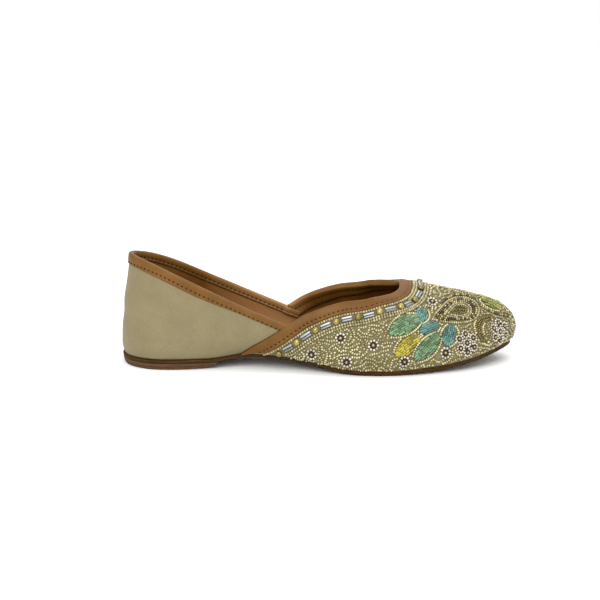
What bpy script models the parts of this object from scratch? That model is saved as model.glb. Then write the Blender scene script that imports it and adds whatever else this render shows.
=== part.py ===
"""Embroidered flat slip-on shoe for the right foot, standing empty on its heel lift and forepart.

The toe points to +X, the inner side of the foot is +Y and +Z is up. The origin is on the floor, under
the middle of the heel. Lengths are in metres.

One table of ribs gives the shape of the last. A rib runs up the skin of the shoe, from the edge of the sole
to the collar, the throat or the ridge of the vamp, and every leather piece is worked out from the ribs. A
place along the shoe is a row of that table, whole or between two rows: positive along the outer side of the
foot and negative along the inner side, so that 0 is the middle of the heel and both ends are the tip of the
toe.
"""

import functools
import math
from collections import namedtuple

import bmesh
import bpy
from mathutils import Vector
from mathutils.bvhtree import BVHTree

# The last
SOLE_LENGTH = 0.247
BALL_WIDTH = 0.084
HEEL_HEIGHT = 0.0685
SIDE_HEIGHT = 0.0273
INSTEP_HEIGHT = 0.0500
TOE_HEIGHT = 0.0365
TOE_SPRING = 0.0106
ARCH_HEIGHT = 0.0070
TOE_SWING = 0.0030

# The bottom
FOREPART_THICKNESS = 0.0032
WAIST_THICKNESS = 0.0024
LIFT_HEIGHT = 0.0040
LIFT_LENGTH = 0.061
LIFT_FLAT = 0.036
LIFT_BEVEL = 0.0022
LIFT_TAPER = 0.0010
INSOLE_THICKNESS = 0.0014
HEEL_CENTRE = 0.020

# The leather and the embroidered cover
UPPER_WALL = 0.0016
COVER_WALL = 0.0012
BINDING_LEATHER = 0.0009
FLAP_THINNED = 0.7
FOLD_ROUNDING = 0.6
COLLAR_BINDING_WIDTH = 0.0058
VAMP_BINDING_WIDTH = 0.0068
WING_REACH = 0.030
THROAT_WIDTH = 0.0546
THROAT_ROUND = 0.0363
THROAT_SQUARENESS = 2.8
FEATHER_INSET = 0.0010

# Clearances
FIT_GAP = 0.0003
INSOLE_GAP = 0.0006
BINDING_GAP = 0.0006
FLAP_END = 0.0010

# Mesh steps
SKIN_STEPS = 9
NET_STEPS = 4
SLIGHT = 0.02
NOTCH_STEP = 0.11
SPARE = 0.3

# One row for each rib, from the middle of the heel to the tip of the toe.
# along, top_along: shares of SOLE_LENGTH.
# outer, inner: the sole's half width on each side; top_out: the half width at the top of the rib; swell,
# shoulder: how far the rib is drawn out low down and near its top, all as shares of half of BALL_WIDTH.
# lift, drop: how far those two pulls reach up and down, as shares of the rib's height.
# top_up: share of the way up from SIDE_HEIGHT to HEEL_HEIGHT as far as the notch, from SIDE_HEIGHT to
# INSTEP_HEIGHT as far as the throat, and from TOE_HEIGHT to INSTEP_HEIGHT beyond it.
# fan: how far the upper pull turns towards the toe. steps: the mesh's steps from this rib to the next.
Rib = namedtuple("Rib", "along outer inner swell lift top_along top_out top_up shoulder drop fan steps")
RIBS = (
    Rib(0.000, 0.000, 0.000, 0.092, 0.110, 0.0235, 0.000, 1.000, 0.076, 0.400, 0.00, 3),
    Rib(0.020, 0.382, 0.382, 0.094, 0.115, 0.0356, 0.190, 0.985, 0.072, 0.400, 0.00, 3),
    Rib(0.071, 0.618, 0.612, 0.098, 0.135, 0.0749, 0.381, 0.915, 0.064, 0.400, 0.00, 3),
    Rib(0.134, 0.674, 0.660, 0.104, 0.165, 0.1336, 0.520, 0.777, 0.060, 0.400, 0.00, 2),
    Rib(0.223, 0.619, 0.600, 0.138, 0.165, 0.2186, 0.600, 0.544, 0.048, 0.420, 0.00, 3),
    Rib(0.316, 0.536, 0.500, 0.179, 0.165, 0.3117, 0.672, 0.291, 0.040, 0.440, 0.00, 6),
    Rib(0.405, 0.607, 0.540, 0.202, 0.190, 0.4239, 0.707, 0.000, 0.050, 0.380, 0.00, 4),
    Rib(0.486, 0.774, 0.705, 0.202, 0.165, 0.4818, 0.681, 0.383, 0.119, 0.380, 0.00, 3),
    Rib(0.567, 0.936, 0.875, 0.188, 0.155, 0.5587, 0.650, 0.644, 0.200, 0.270, 0.00, 3),
    Rib(0.640, 1.000, 0.980, 0.172, 0.160, 0.6316, 0.605, 0.765, 0.287, 0.199, 0.05, 3),
    Rib(0.696, 0.990, 1.000, 0.167, 0.180, 0.6560, 0.410, 0.896, 0.568, 0.136, 0.12, 4),
    Rib(0.741, 0.957, 0.985, 0.165, 0.200, 0.6780, 0.165, 0.966, 0.757, 0.088, 0.25, 5),
    Rib(0.785, 0.895, 0.935, 0.155, 0.220, 0.7138, 0.000, 1.000, 0.590, 0.038, 0.40, 4),
    Rib(0.850, 0.776, 0.825, 0.155, 0.260, 0.7935, 0.000, 0.741, 0.500, 0.000, 0.40, 3),
    Rib(0.911, 0.595, 0.640, 0.143, 0.330, 0.8623, 0.000, 0.481, 0.405, 0.000, 0.30, 2),
    Rib(0.960, 0.381, 0.410, 0.131, 0.360, 0.9150, 0.000, 0.244, 0.333, 0.000, 0.20, 3),
    Rib(0.990, 0.181, 0.195, 0.128, 0.360, 0.9433, 0.000, 0.067, 0.286, 0.000, 0.10, 3),
    Rib(1.000, 0.000, 0.000, 0.124, 0.350, 0.9534, 0.000, 0.000, 0.262, 0.000, 0.00, 1),
)
NOTCH = 6
THROAT = 12
TIP = len(RIBS) - 1

# Rows that one smooth curve runs through, and whether each of its ends runs square into its mirror image.
Stretch = namedtuple("Stretch", "first last square_start square_end")
WHOLE = Stretch(0, TIP, True, True)
QUARTER = Stretch(0, NOTCH, True, False)
THROAT_SIDE = Stretch(NOTCH, THROAT, False, False)
VAMP = Stretch(NOTCH, TIP, False, True)

# The underside of the outsole: share of SOLE_LENGTH, then shares of LIFT_HEIGHT, ARCH_HEIGHT and TOE_SPRING.
Rise = namedtuple("Rise", "along lift arch spring")
UNDERSIDE = (
    Rise(0.00, 1.0, 0.00, 0.00),
    Rise(0.22, 1.0, 0.00, 0.00),
    Rise(0.34, 0.0, 1.00, 0.00),
    Rise(0.45, 0.0, 0.75, 0.00),
    Rise(0.55, 0.0, 0.20, 0.00),
    Rise(0.61, 0.0, 0.00, 0.00),
    Rise(0.68, 0.0, 0.00, 0.00),
    Rise(0.74, 0.0, 0.00, 0.08),
    Rise(0.83, 0.0, 0.00, 0.24),
    Rise(0.91, 0.0, 0.00, 0.53),
    Rise(0.97, 0.0, 0.00, 0.86),
    Rise(1.00, 0.0, 0.00, 1.00),
)
THICKER_FROM = 0.34
THICKER_TO = 0.58
SWING_FROM = 0.55

# A face of a plate: its height at a distance from the back, and how far it lies inside the outline.
Face = namedtuple("Face", "height inset")

# Base colour and roughness of each finish
EMBROIDERY = ((0.42, 0.37, 0.20, 1.0), 0.75)
CREAM_LEATHER = ((0.36, 0.31, 0.19, 1.0), 0.50)
TAN_LEATHER = ((0.22, 0.10, 0.03, 1.0), 0.45)
INSOLE_LEATHER = ((0.30, 0.14, 0.05, 1.0), 0.55)
OUTSOLE_LEATHER = ((0.08, 0.04, 0.02, 1.0), 0.60)
LIFT_LEATHER = ((0.10, 0.05, 0.03, 1.0), 0.60)


def hermite(start, end, leaving, arriving, share):
    """Cubic from start to end with those two slopes, at a share of the way."""
    square, cube = share**2, share**3
    rise = 3 * square - 2 * cube
    pulls = leaving * (cube - 2 * square + share) + arriving * (cube - square)
    return start * (1 - rise) + end * rise + pulls


def along_table(values, row, stretch, odd=False):
    """Smooth curve through the rows of a stretch, which doesn't look past either of its ends."""

    def value(k):
        if k < stretch.first:
            mirrored = -values[k + 2] if odd else values[k + 2]
            return mirrored if stretch.square_start else 2 * values[k + 1] - values[k + 2]
        if k > stretch.last:
            mirrored = -values[k - 2] if odd else values[k - 2]
            return mirrored if stretch.square_end else 2 * values[k - 1] - values[k - 2]
        return values[k]

    k = min(int(row), stretch.last - 1)
    leaving = (value(k + 1) - value(k - 1)) / 2
    arriving = (value(k + 2) - value(k)) / 2
    return hermite(values[k], values[k + 1], leaving, arriving, row - k)


def column(name, row, stretch=WHOLE):
    odd = name in ("outer", "inner", "top_out")
    return along_table([getattr(rib, name) for rib in RIBS], row, stretch, odd)


def rib_height(row):
    """Height over the floor of the top of one of the table's ribs."""
    if row <= NOTCH:
        lower, upper = SIDE_HEIGHT, HEEL_HEIGHT
    elif row <= THROAT:
        lower, upper = SIDE_HEIGHT, INSTEP_HEIGHT
    else:
        lower, upper = TOE_HEIGHT, INSTEP_HEIGHT
    return lower + RIBS[row].top_up * (upper - lower)


def level_between(knots, values, where):
    """Cubic through the knots that never overshoots, so that what is level between two knots stays flat."""
    where = min(max(where, knots[0]), knots[-1])
    k = max(i for i in range(len(knots) - 1) if knots[i] <= where)
    spans = [b - a for a, b in zip(knots, knots[1:])]
    slopes = [(b - a) / span for a, b, span in zip(values, values[1:], spans)]

    def slope(i):
        before, after = slopes[max(i - 1, 0)], slopes[min(i, len(slopes) - 1)]
        return 2 * before * after / (before + after) if before * after > 0 else 0.0

    share = (where - knots[k]) / spans[k]
    return hermite(values[k], values[k + 1], slope(k) * spans[k], slope(k + 1) * spans[k], share)


def underside(x):
    """Height over the floor of the outsole's lower face, at a distance from the back of the sole."""
    parts = (LIFT_HEIGHT, ARCH_HEIGHT, TOE_SPRING)
    heights = [sum(share * part for share, part in zip(rise[1:], parts)) for rise in UNDERSIDE]
    return level_between([rise.along for rise in UNDERSIDE], heights, x / SOLE_LENGTH)


def sole_top(x):
    """Height over the floor of the outsole's upper face."""
    thickness = level_between(
        (0.0, THICKER_FROM, THICKER_TO, 1.0),
        (WAIST_THICKNESS, WAIST_THICKNESS, FOREPART_THICKNESS, FOREPART_THICKNESS),
        x / SOLE_LENGTH,
    )
    return underside(x) + thickness


def settled(point):
    """A point of the straight last moved to its place: the toe swings inwards, the heel is at the origin."""
    forward = max(0.0, point.x / SOLE_LENGTH - SWING_FROM) / (1 - SWING_FROM)
    return Vector((point.x - HEEL_CENTRE, point.y + TOE_SWING * forward**2, point.z))


def outline(place):
    """Point of the straight last's sole outline at a place."""
    row = abs(place)
    half_width = BALL_WIDTH / 2
    y = column("inner", row) * half_width if place < 0 else -column("outer", row) * half_width
    return Vector((column("along", row) * SOLE_LENGTH, y, 0))


def way_out(place):
    """Level direction that points straight out of the sole's outline."""
    if abs(place) >= TIP:
        return Vector((1, 0, 0))
    run = outline(min(place + SLIGHT, TIP)) - outline(max(place - SLIGHT, -TIP))
    return Vector((run.y, -run.x, 0)).normalized()


def inset_outline(place, inset):
    """Point inside the sole's outline, at that distance from it."""
    return outline(place) - way_out(place) * inset


@functools.lru_cache(maxsize=None)
def top_point(place):
    """Top end of the rib at a place: on the collar, inside the throat's opening or on the ridge."""
    row = abs(place)
    stretch = QUARTER if row <= NOTCH else VAMP
    half_width = column("top_out", row, stretch)
    if row > NOTCH:
        half_width = level_between(range(TIP + 1), [rib.top_out for rib in RIBS], row)
    side = 1 if place < 0 else -1
    height = along_table([rib_height(k) for k in range(TIP + 1)], row, stretch)
    along = column("top_along", row, stretch) * SOLE_LENGTH
    return Vector((along, side * half_width * BALL_WIDTH / 2, height))


def ridge_slope(row):
    """How fast the ridge climbs along X, so that the ribs that end on it meet without a crease."""
    row = min(max(row, THROAT + 2 * SLIGHT), TIP - 2 * SLIGHT)
    run = top_point(row + SLIGHT) - top_point(row - SLIGHT)
    return run.z / run.x


@functools.lru_cache(maxsize=None)
def rib(place):
    """The four control points of a rib of the upper's outer skin, from the sole to the top."""
    row = abs(place)
    out = way_out(place)
    foot = inset_outline(place, FEATHER_INSET)
    foot.z = sole_top(foot.x) + FIT_GAP
    top = top_point(place)
    height = top.z - foot.z
    shoulder = column("shoulder", row) * BALL_WIDTH / 2
    fanned = (out + Vector((column("fan", row), 0, 0))).normalized()
    drop = column("drop", row) * height
    if row > THROAT:
        drop = -ridge_slope(row) * fanned.x * shoulder
    low = foot + out * column("swell", row) * BALL_WIDTH / 2
    low.z += column("lift", row) * height
    high = top + fanned * shoulder
    high.z -= drop
    return foot, low, high, top


def skin(place, share):
    """Point on the upper's outer skin, at a share of the way up the rib."""
    foot, low, high, top = rib(place)
    rest = 1 - share
    return foot * rest**3 + low * (3 * rest**2 * share) + high * (3 * rest * share**2) + top * share**3


def share_where(place, reached):
    """Lowest share of the rib at which reached(point) holds, or 1 where it never does."""
    low, high = 0.0, 1.0
    for _ in range(30):
        middle = (low + high) / 2
        if reached(skin(place, middle)):
            high = middle
        else:
            low = middle
    return high


def cover_foot(place):
    """Share of the rib at which the cover starts, clear of the sole that it overhangs."""
    foot = rib(place)[0]
    return share_where(place, lambda point: point.z - foot.z > COVER_WALL + FIT_GAP)


def above_wing(point):
    """Distance of a point above the edge of the vamp's wing, seen from the side."""
    notch = top_point(NOTCH)
    tip = Vector((notch.x - WING_REACH, 0, sole_top(notch.x - WING_REACH)))
    run = notch - tip
    length = math.hypot(run.x, run.z)
    return ((point.z - tip.z) * run.x - (point.x - tip.x) * run.z) / length


def inside_throat(point):
    """Whether a point lies in the throat's opening, over the notch and, seen from above, within its outline.

    The outline has straight sides and a rounded front.
    """
    notch, front = top_point(NOTCH), top_point(THROAT)
    if point.z < notch.z - FIT_GAP:
        return False
    back_x = front.x - THROAT_ROUND
    half_width = THROAT_WIDTH / 2
    if point.x < back_x:
        share = (back_x - point.x) / (back_x - notch.x)
        return abs(point.y) < half_width + share * (abs(notch.y) - half_width)
    along, across = (point.x - back_x) / THROAT_ROUND, abs(point.y) / half_width
    return along**THROAT_SQUARENESS + across**THROAT_SQUARENESS < 1


def throat_share(place):
    """Share of the rib at which the upper ends: the collar, the throat's edge or the ridge."""
    if NOTCH < abs(place) < THROAT:
        return share_where(place, inside_throat)
    return 1.0


@functools.lru_cache(maxsize=None)
def edge_share(place):
    """Share of the rib at which the vamp ends: as the upper, but for the slanted edge of the wing."""
    if abs(place) < NOTCH:
        return share_where(place, lambda point: above_wing(point) > 0)
    return throat_share(place)


def first_row(side, reached):
    """Row between the middle of the heel and the notch from which reached(place) holds, on one side."""
    low, high = 0.0, float(NOTCH)
    for _ in range(30):
        middle = (low + high) / 2
        if reached(side * middle):
            high = middle
        else:
            low = middle
    return side * high


def wing_tip(side):
    """Place where the wing starts, just high enough over the sole for the binding on its edge."""
    least = COVER_WALL + FIT_GAP + 2 * BINDING_GAP + BINDING_LEATHER + FLAP_END

    def high_enough(place):
        return skin(place, edge_share(place)).z - rib(place)[0].z > least

    return first_row(side, high_enough)


def rows_between(first, last):
    """Places at even steps between two places, with both of them."""
    counts = [entry.steps for entry in RIBS[:TIP]]
    steps = [(row + k / count, count) for row, count in enumerate(counts) for k in range(count)]
    both_sides = [(-row, count) for row, count in steps[:0:-1]] + steps
    between = [row for row, count in both_sides if first + SPARE / count < row < last - SPARE / count]
    return [first] + between + [last]


def lay_on_skin(places, shares_at):
    """A grid with a line of points up the skin at each place, facing out."""
    bm = bmesh.new()
    steps = len(shares_at(places[0])) - 1
    bmesh.ops.create_grid(bm, x_segments=len(places) - 1, y_segments=steps, size=0.5)
    shares = {place: shares_at(place) for place in places}
    for vert in bm.verts:
        place = places[round((vert.co.x + 0.5) * (len(places) - 1))]
        vert.co = settled(skin(place, shares[place][round((vert.co.y + 0.5) * steps)]))
    bm.normal_update()
    return bm


def even_shares(low, high, steps):
    return [low + (high - low) * k / steps for k in range(steps + 1)]


def new_piece(name, bm, finish):
    """An object of a bmesh, with a material of its own and smooth but for its sharp corners."""
    mesh = bpy.data.meshes.new(name)
    bm.to_mesh(mesh)
    bm.free()
    mesh.shade_smooth()
    mesh.set_sharp_from_angle(angle=math.radians(40))
    piece = bpy.data.objects.new(name, mesh)
    bpy.context.scene.collection.objects.link(piece)
    material = bpy.data.materials.new(name + "_finish")
    material.use_nodes = True
    shader = material.node_tree.nodes["Principled BSDF"]
    shader.inputs["Base Color"].default_value = finish[0]
    shader.inputs["Roughness"].default_value = finish[1]
    shader.inputs["Metallic"].default_value = 0.0
    mesh.materials.append(material)
    return piece


def give_wall(piece, thickness, offset):
    """A wall inwards (-1) or outwards (1) from the sheet."""
    wall = piece.modifiers.new("wall", "SOLIDIFY")
    wall.thickness = thickness
    wall.offset = offset
    wall.use_even_offset = True


def make_upper():
    """The hollow leather upper, open at the collar, the throat and underneath, in one skin."""

    def shares_at(place):
        return [0.0] + even_shares(cover_foot(place), throat_share(place), SKIN_STEPS)

    bm = lay_on_skin(rows_between(-TIP, TIP), shares_at)
    bmesh.ops.remove_doubles(bm, verts=bm.verts, dist=FIT_GAP / 10)
    give_wall(new_piece("upper", bm, CREAM_LEATHER), UPPER_WALL, -1)


def make_vamp_cover():
    """The embroidered cover over the front of the upper, with a wing reaching back along each side."""

    def shares_at(place):
        return even_shares(cover_foot(place), edge_share(place), SKIN_STEPS)

    bm = lay_on_skin(rows_between(wing_tip(1), TIP), shares_at)
    inner_half = lay_on_skin(rows_between(-TIP, wing_tip(-1)), shares_at)
    spare = bpy.data.meshes.new("inner_half")
    inner_half.to_mesh(spare)
    inner_half.free()
    bm.from_mesh(spare)
    bpy.data.meshes.remove(spare)
    bmesh.ops.remove_doubles(bm, verts=bm.verts, dist=FIT_GAP / 10)
    bm.normal_update()
    for vert in bm.verts:
        vert.co += vert.normal * FIT_GAP
    give_wall(new_piece("vamp_cover", bm, EMBROIDERY), COVER_WALL, 1)


def skin_tree():
    """The skin as a fine net, on which the nearest point to any other can be looked up."""
    places = [k / SKIN_STEPS for k in range(-TIP * SKIN_STEPS, TIP * SKIN_STEPS + 1)]
    bm = lay_on_skin(places, lambda place: even_shares(0.0, 1.0, SKIN_STEPS * NET_STEPS))
    tree = BVHTree.FromBMesh(bm)
    bm.free()
    return tree


def folded_section(outer_flap, inner_flap, outer_face, inner_face):
    """Section of a binding folded over an edge: pairs of depth below it and distance out of the skin."""
    leather = BINDING_LEATHER
    rounded, thinned = FOLD_ROUNDING * leather, FLAP_THINNED * leather
    bend = -BINDING_GAP - rounded
    inner_middle = (inner_flap - BINDING_GAP) / 2
    return (
        (outer_flap, outer_face + thinned),
        (outer_flap / 2, outer_face + leather),
        (0.0, outer_face + leather),
        (bend, outer_face + rounded),
        (-BINDING_GAP - leather, (outer_face + inner_face) / 2),
        (bend, inner_face - rounded),
        (min(0.0, inner_middle), inner_face - leather),
        (inner_flap, inner_face - thinned),
        (inner_flap, inner_face),
        (inner_middle, inner_face),
        (-BINDING_GAP, inner_face),
        (-BINDING_GAP, outer_face),
        (outer_flap / 2, outer_face),
        (outer_flap, outer_face),
    )


def wing_section(outer_flap, outer_face):
    """Section of the binding on the wing, turned down over the cover's edge on to the quarter behind it."""
    leather = BINDING_LEATHER
    outer_side = folded_section(outer_flap, 0.0, outer_face, 0.0)
    back = -BINDING_GAP - leather
    turned_down = [(back, BINDING_GAP + share * (outer_face - BINDING_GAP)) for share in (0.7, 0.4)]
    under = [(-BINDING_GAP - leather * share, BINDING_GAP) for share in (1.0, 0.75, 0.5, 0.25, 0.0)]
    return outer_side[:4] + tuple(turned_down + under) + outer_side[-3:]


def collar_edge(place):
    return settled(top_point(place))


def vamp_edge(place):
    return settled(skin(place, edge_share(place)))


def run_of(edge_at, place, stretch):
    """Direction of an edge at a place, by points of the same stretch. It runs level across the middle."""
    row, side = abs(place), -1 if place < 0 else 1
    if row in (0, THROAT):
        return Vector((0, -1 if row == 0 else 1, 0))
    ends = sorted((side * max(row - SLIGHT, stretch.first), side * min(row + SLIGHT, stretch.last)))
    return (edge_at(ends[1]) - edge_at(ends[0])).normalized()


def lay_section(tree, edge_at, place, stretch, section):
    """The points of a section, set square to the edge of the leather at a place."""
    run = run_of(edge_at, place, stretch)
    edge = edge_at(place)
    edge_out = tree.find_nearest(edge)[1]
    down = run.cross(edge_out).normalized()
    points = []
    for depth, out in section:
        point, normal = edge + down * depth, edge_out
        if depth > 0:
            point, normal = tree.find_nearest(point)[:2]
        points.append(point + normal * out)
    return points


def new_strip(name, loops, finish):
    """A closed strip through its sections, capped at both ends or closed to an edge there."""
    bm = bmesh.new()
    rings = []
    for loop in loops:
        verts = [bm.verts.new(point) for point in loop]
        rings.append([bm.edges.new(pair) for pair in zip(verts, verts[1:] + verts[:1])])
    for near, far in zip(rings, rings[1:]):
        for near_edge, far_edge in zip(near, far):
            bm.faces.new((*near_edge.verts, *reversed(far_edge.verts)))
    bmesh.ops.holes_fill(bm, edges=rings[0] + rings[-1], sides=len(rings[0]))
    bmesh.ops.remove_doubles(bm, verts=bm.verts, dist=FIT_GAP / 10)
    bmesh.ops.recalc_face_normals(bm, faces=bm.faces)
    return new_piece(name, bm, finish)


def make_collar_binding(tree):
    """The strip folded over the quarter's edge, round the heel from wing to wing."""
    clearance = FIT_GAP + BINDING_GAP + BINDING_LEATHER

    def loop(place):
        outer_flap = min(COLLAR_BINDING_WIDTH, above_wing(top_point(place)) - clearance)
        section = folded_section(outer_flap, COLLAR_BINDING_WIDTH, BINDING_GAP, -UPPER_WALL - BINDING_GAP)
        return lay_section(tree, collar_edge, place, QUARTER, section)

    ends = [
        first_row(side, lambda place: above_wing(top_point(place)) < clearance + FLAP_END) for side in (-1, 1)
    ]
    new_strip("collar_binding", [loop(place) for place in rows_between(*ends)], TAN_LEATHER)


def make_vamp_binding(tree):
    """The strip folded over the throat's edge, and on along the edge of each wing down to the sole."""
    outer_face = FIT_GAP + COVER_WALL + BINDING_GAP
    inner_face = -UPPER_WALL - BINDING_GAP

    def wing_loop(place):
        edge = skin(place, edge_share(place))
        foot = rib(place)[0]
        room = edge.z - foot.z - outer_face - BINDING_LEATHER
        section = wing_section(min(VAMP_BINDING_WIDTH, room), outer_face)
        return lay_section(tree, vamp_edge, place, QUARTER, section)

    def throat_loop(place):
        at_notch = abs(place) < NOTCH + 1.5 * NOTCH_STEP
        inner_flap = -FLAP_THINNED * BINDING_GAP if at_notch else VAMP_BINDING_WIDTH
        section = folded_section(VAMP_BINDING_WIDTH, inner_flap, outer_face, inner_face)
        return lay_section(tree, vamp_edge, place, THROAT_SIDE, section)

    start, end = wing_tip(1), wing_tip(-1)
    side_rows = [NOTCH + NOTCH_STEP] + rows_between(NOTCH + 2 * NOTCH_STEP, THROAT)
    loops = [wing_loop(place) for place in rows_between(start, NOTCH)]
    loops += [throat_loop(place) for place in side_rows]
    loops += [throat_loop(-place) for place in side_rows[-2::-1]]
    loops += [wing_loop(place) for place in rows_between(-NOTCH, end)]
    new_strip("vamp_binding", loops, TAN_LEATHER)


def row_at(x):
    """Row at which the sole's outline is that far from its back."""
    low, high = 0.0, float(TIP)
    for _ in range(30):
        middle = (low + high) / 2
        if column("along", middle) * SOLE_LENGTH < x:
            low = middle
        else:
            high = middle
    return low


def make_plate(name, last_row, lower, upper, finish):
    """A plate with the sole's outline, from the back to a row. Each face has its height and its inset."""

    def section(row):
        corners = []
        for place, face in ((row, lower), (row, upper), (-row, upper), (-row, lower)):
            point = inset_outline(place, face.inset)
            point.z = face.height(point.x)
            corners.append(settled(point))
        return corners

    new_strip(name, [section(row) for row in rows_between(0, last_row)], finish)


def make_outsole():
    make_plate("outsole", TIP, Face(underside, 0.0), Face(sole_top, 0.0), OUTSOLE_LEATHER)


def make_heel_lift():
    """The leather lift under the heel, flat behind and bevelled off towards the waist."""

    def lower_height(x):
        return LIFT_BEVEL * (max(0.0, x - LIFT_FLAT) / (LIFT_LENGTH - LIFT_FLAT)) ** 2

    upper_face = Face(lambda x: underside(x) - FIT_GAP, 0.0)
    make_plate("heel_lift", row_at(LIFT_LENGTH), Face(lower_height, LIFT_TAPER), upper_face, LIFT_LEATHER)


def make_insole():
    inset = FEATHER_INSET + UPPER_WALL + INSOLE_GAP
    lower_face = Face(lambda x: sole_top(x) + FIT_GAP, inset)
    upper_face = Face(lambda x: sole_top(x) + FIT_GAP + INSOLE_THICKNESS, inset)
    make_plate("insole", TIP, lower_face, upper_face, INSOLE_LEATHER)


def clear_scene():
    for thing in list(bpy.data.objects):
        bpy.data.objects.remove(thing)


clear_scene()
make_outsole()
make_heel_lift()
make_insole()
make_upper()
make_vamp_cover()
net = skin_tree()
make_collar_binding(net)
make_vamp_binding(net)
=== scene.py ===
"""Looks of the beaded flat slip-on shoe: leathers, folded strips and stitches, beaded cloth, sole and heel.

Lengths are in metres, in the shoe's own frame: the toe points to +X, the inner side of the foot is +Y, and
the origin is on the floor under the middle of the heel. A place along the shoe is a row of the last's table,
positive on the outer side of the foot and negative on the inner side.
"""

import functools
import itertools
import math
import random
from collections import defaultdict, namedtuple

import bmesh
import bpy
import numpy as np
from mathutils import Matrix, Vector
from mathutils.bvhtree import BVHTree
from mathutils.kdtree import KDTree


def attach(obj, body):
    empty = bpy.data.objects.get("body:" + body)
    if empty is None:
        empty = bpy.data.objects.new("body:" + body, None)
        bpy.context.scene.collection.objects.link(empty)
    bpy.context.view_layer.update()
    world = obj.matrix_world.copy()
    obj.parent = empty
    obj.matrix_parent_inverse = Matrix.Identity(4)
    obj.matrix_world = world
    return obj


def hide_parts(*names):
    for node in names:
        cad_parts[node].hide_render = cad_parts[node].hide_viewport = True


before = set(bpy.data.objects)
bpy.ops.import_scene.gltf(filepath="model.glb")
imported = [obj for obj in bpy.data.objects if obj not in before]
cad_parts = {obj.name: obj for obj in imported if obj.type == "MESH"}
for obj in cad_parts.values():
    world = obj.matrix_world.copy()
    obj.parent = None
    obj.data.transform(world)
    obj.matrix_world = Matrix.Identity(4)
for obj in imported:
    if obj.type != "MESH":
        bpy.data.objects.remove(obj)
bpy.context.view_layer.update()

# The last on which the shoe is made
SOLE_LENGTH = 0.247
BALL_WIDTH = 0.084
HEEL_HEIGHT = 0.0685
SIDE_HEIGHT = 0.0273
INSTEP_HEIGHT = 0.0500
TOE_HEIGHT = 0.0365
TOE_SPRING = 0.0106
ARCH_HEIGHT = 0.0070
TOE_SWING = 0.0030
HEEL_CENTRE = 0.020

# The bottom
FOREPART_THICKNESS = 0.0032
WAIST_THICKNESS = 0.0024
LIFT_HEIGHT = 0.0040
LIFT_LENGTH = 0.061
LIFT_FLAT = 0.036
LIFT_BEVEL = 0.0022
INSOLE_THICKNESS = 0.0014

# Leather, cloth and the strips folded over their edges
UPPER_WALL = 0.0016
CLOTH_THICKNESS = 0.0006
CLOTH_TOP = 0.0009
STRIP = 0.0009
VAMP_WIDTH = 0.0068
VAMP_INNER_WIDTH = 0.0090
VAMP_INNER_STITCHES = 0.0032
SEAM_GAP = 0.00005
FOLD_REACH = 0.0012
BAND_END = 0.0090
EDGE_LINE = 0.00045
LOOP_STEP = 0.0005
CUT_CLEAR = 0.0003
STITCH_CLEAR = 0.0010
STITCH_PITCH = 0.0030
COLLAR_INNER_WIDTH = 0.0043
COLLAR_INNER_INSET = 0.0018
VAMP_STITCH_INSET = 0.0023
STITCH_SLANT = math.radians(32)
WING_REACH = 0.030
THROAT_WIDTH = 0.0546
THROAT_ROUND = 0.0363
THROAT_SQUARENESS = 2.8
FEATHER_INSET = 0.0010
FIT_GAP = 0.0003

# Beads
SEED = 0.00155
SEED_PITCH = 0.00140
STRAND_GAP = 0.00180
STRAND_TRIES = 9000
SINGLE_TRIES = 6000
SINGLE_GAP = 0.00158
BORDER_SEED = 0.00170
BORDER_ROWS = (0.0010, 0.0067, 0.0084)
BAND_ROW = 0.0039
BAND_PITCH = 0.0134
FRONT_DRIFT = 0.0017
GOLD_ROUND = 0.0042
BUGLE_LENGTH = 0.0076
BUGLE_WIDTH = 0.00168

# Camera, as the photograph was taken
TARGET = Vector((0.0926, 0.0, 0.0385))
CAMERA_DISTANCE = 0.9
CAMERA_ELEVATION = math.radians(12.5)
VIEW_RIGHT = Vector((1, 0, 0))
VIEW_UP = Vector((0, math.sin(CAMERA_ELEVATION), math.cos(CAMERA_ELEVATION)))
VIEW_BACK = Vector((0, -math.cos(CAMERA_ELEVATION), math.sin(CAMERA_ELEVATION)))
EYE = TARGET + VIEW_BACK * CAMERA_DISTANCE
SENSOR = 36.0
LENS = 85.32

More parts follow.
